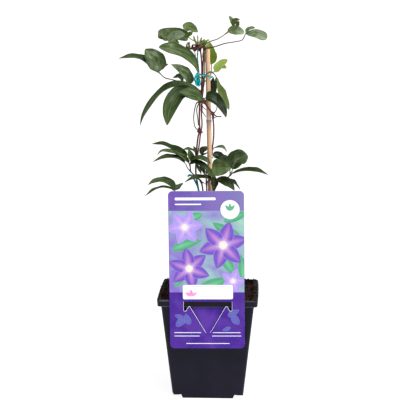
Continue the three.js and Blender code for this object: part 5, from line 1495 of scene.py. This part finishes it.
def tie_finish():
    look = Finish("turquoise_tape", IOR=1.45, Specular_IOR_Level=0.2)
    streaks = look.noise(1, 4, 0.6, look.place((420, 420, 420)))
    colour = look.mix(look.span(streaks, 0.3, 0.7), (0.0, 0.36, 0.39), (0.005, 0.54, 0.58))
    # Painted shade: dark teal streaks where the crumpled tape's creases would lie in shade.
    painted_crease_shade = look.noise(1, 3, 0.5, look.place((330, 330, 520), (3, 0, 0)))
    colour = look.mix(look.span(painted_crease_shade, 0.52, 0.62, 0, 0.85), colour, (0.0, 0.055, 0.065))
    return look.paint(
        Base_Color=colour,
        Roughness=look.span(streaks, 0.3, 0.7, 0.3, 0.48),
        Normal=look.bump(streaks, 0.4, 0.2),
    )


def make_tie(name, tie, look):
    (x, y, z), (half_x, half_y), rise = tie["ring"]
    turns = np.linspace(0, 2 * math.pi, 12, endpoint=False)
    ring = [np.array([x + half_x * math.cos(a), y + half_y * math.sin(a), z + rise * half_x * math.cos(a)])
            for a in turns]
    parts = [tape(ring, RING_TAPE_WIDTH, 0, look, closed=True)]
    for half_width, twist, points in tie["strands"]:
        parts.append(tape([sight(p) for p in points], half_width * STRAND_SPREAD, twist, look))
    whole = join(parts)
    whole.name = name
    shape = bmesh.new()
    shape.from_mesh(whole.data)
    turn_outward(shape)
    shape.to_mesh(whole.data)
    shape.free()
    return whole


# ---- The plant -----------------------------------------------------------------------------------
def make_floor():
    look = Finish("pale_floor", Roughness=0.9, Specular_IOR_Level=0.1, Emission_Color=(1, 1, 1),
                  Emission_Strength=0.92)
    paint = look.paint(Base_Color=look.mix(look.noise(0.4, 2), (0.2, 0.2, 0.2), (0.22, 0.22, 0.22)))
    reach = FLOOR_REACH / MM
    corners = [(-reach, -reach, FLOOR_LEVEL), (reach, -reach, FLOOR_LEVEL), (reach, reach, FLOOR_LEVEL),
               (-reach, reach, FLOOR_LEVEL)]
    floor = make_piece("floor", corners, [(0, 1, 2, 3)], [paint])


set_camera()
set_lights()
make_floor()
soil_look = soil_finish()
finish_piece(make_pot(pot_plastic_finish()), "pot_plastic", "pot")
finish_piece(make_soil(soil_look), "soil", "soil")
finish_piece(make_crumbs(soil_look), "soil")
finish_piece(make_cane(bamboo_finish()), "bamboo", "cane")
finish_piece(make_card(card_violet_finish(), card_stock_finish()), "card_print", "card")
picture = make_card_print()
picture.name = "card_picture"
finish_piece(picture, "card_print")
tape_look = tie_finish()
for tie_name, tie_parts in TIES.items():
    finish_piece(make_tie(tie_name + "_tape", tie_parts, tape_look), "tie", tie_name)
vine_looks = {"stem_tree": stem_tree(stem_finish()), "upper": blade_finish("leaf_upper", False),
              "under": blade_finish("leaf_under", True)}
for vine_name, vine_parts in VINES.items():
    finish_piece(make_vine(vine_name, vine_parts, vine_looks), "vine", vine_name)
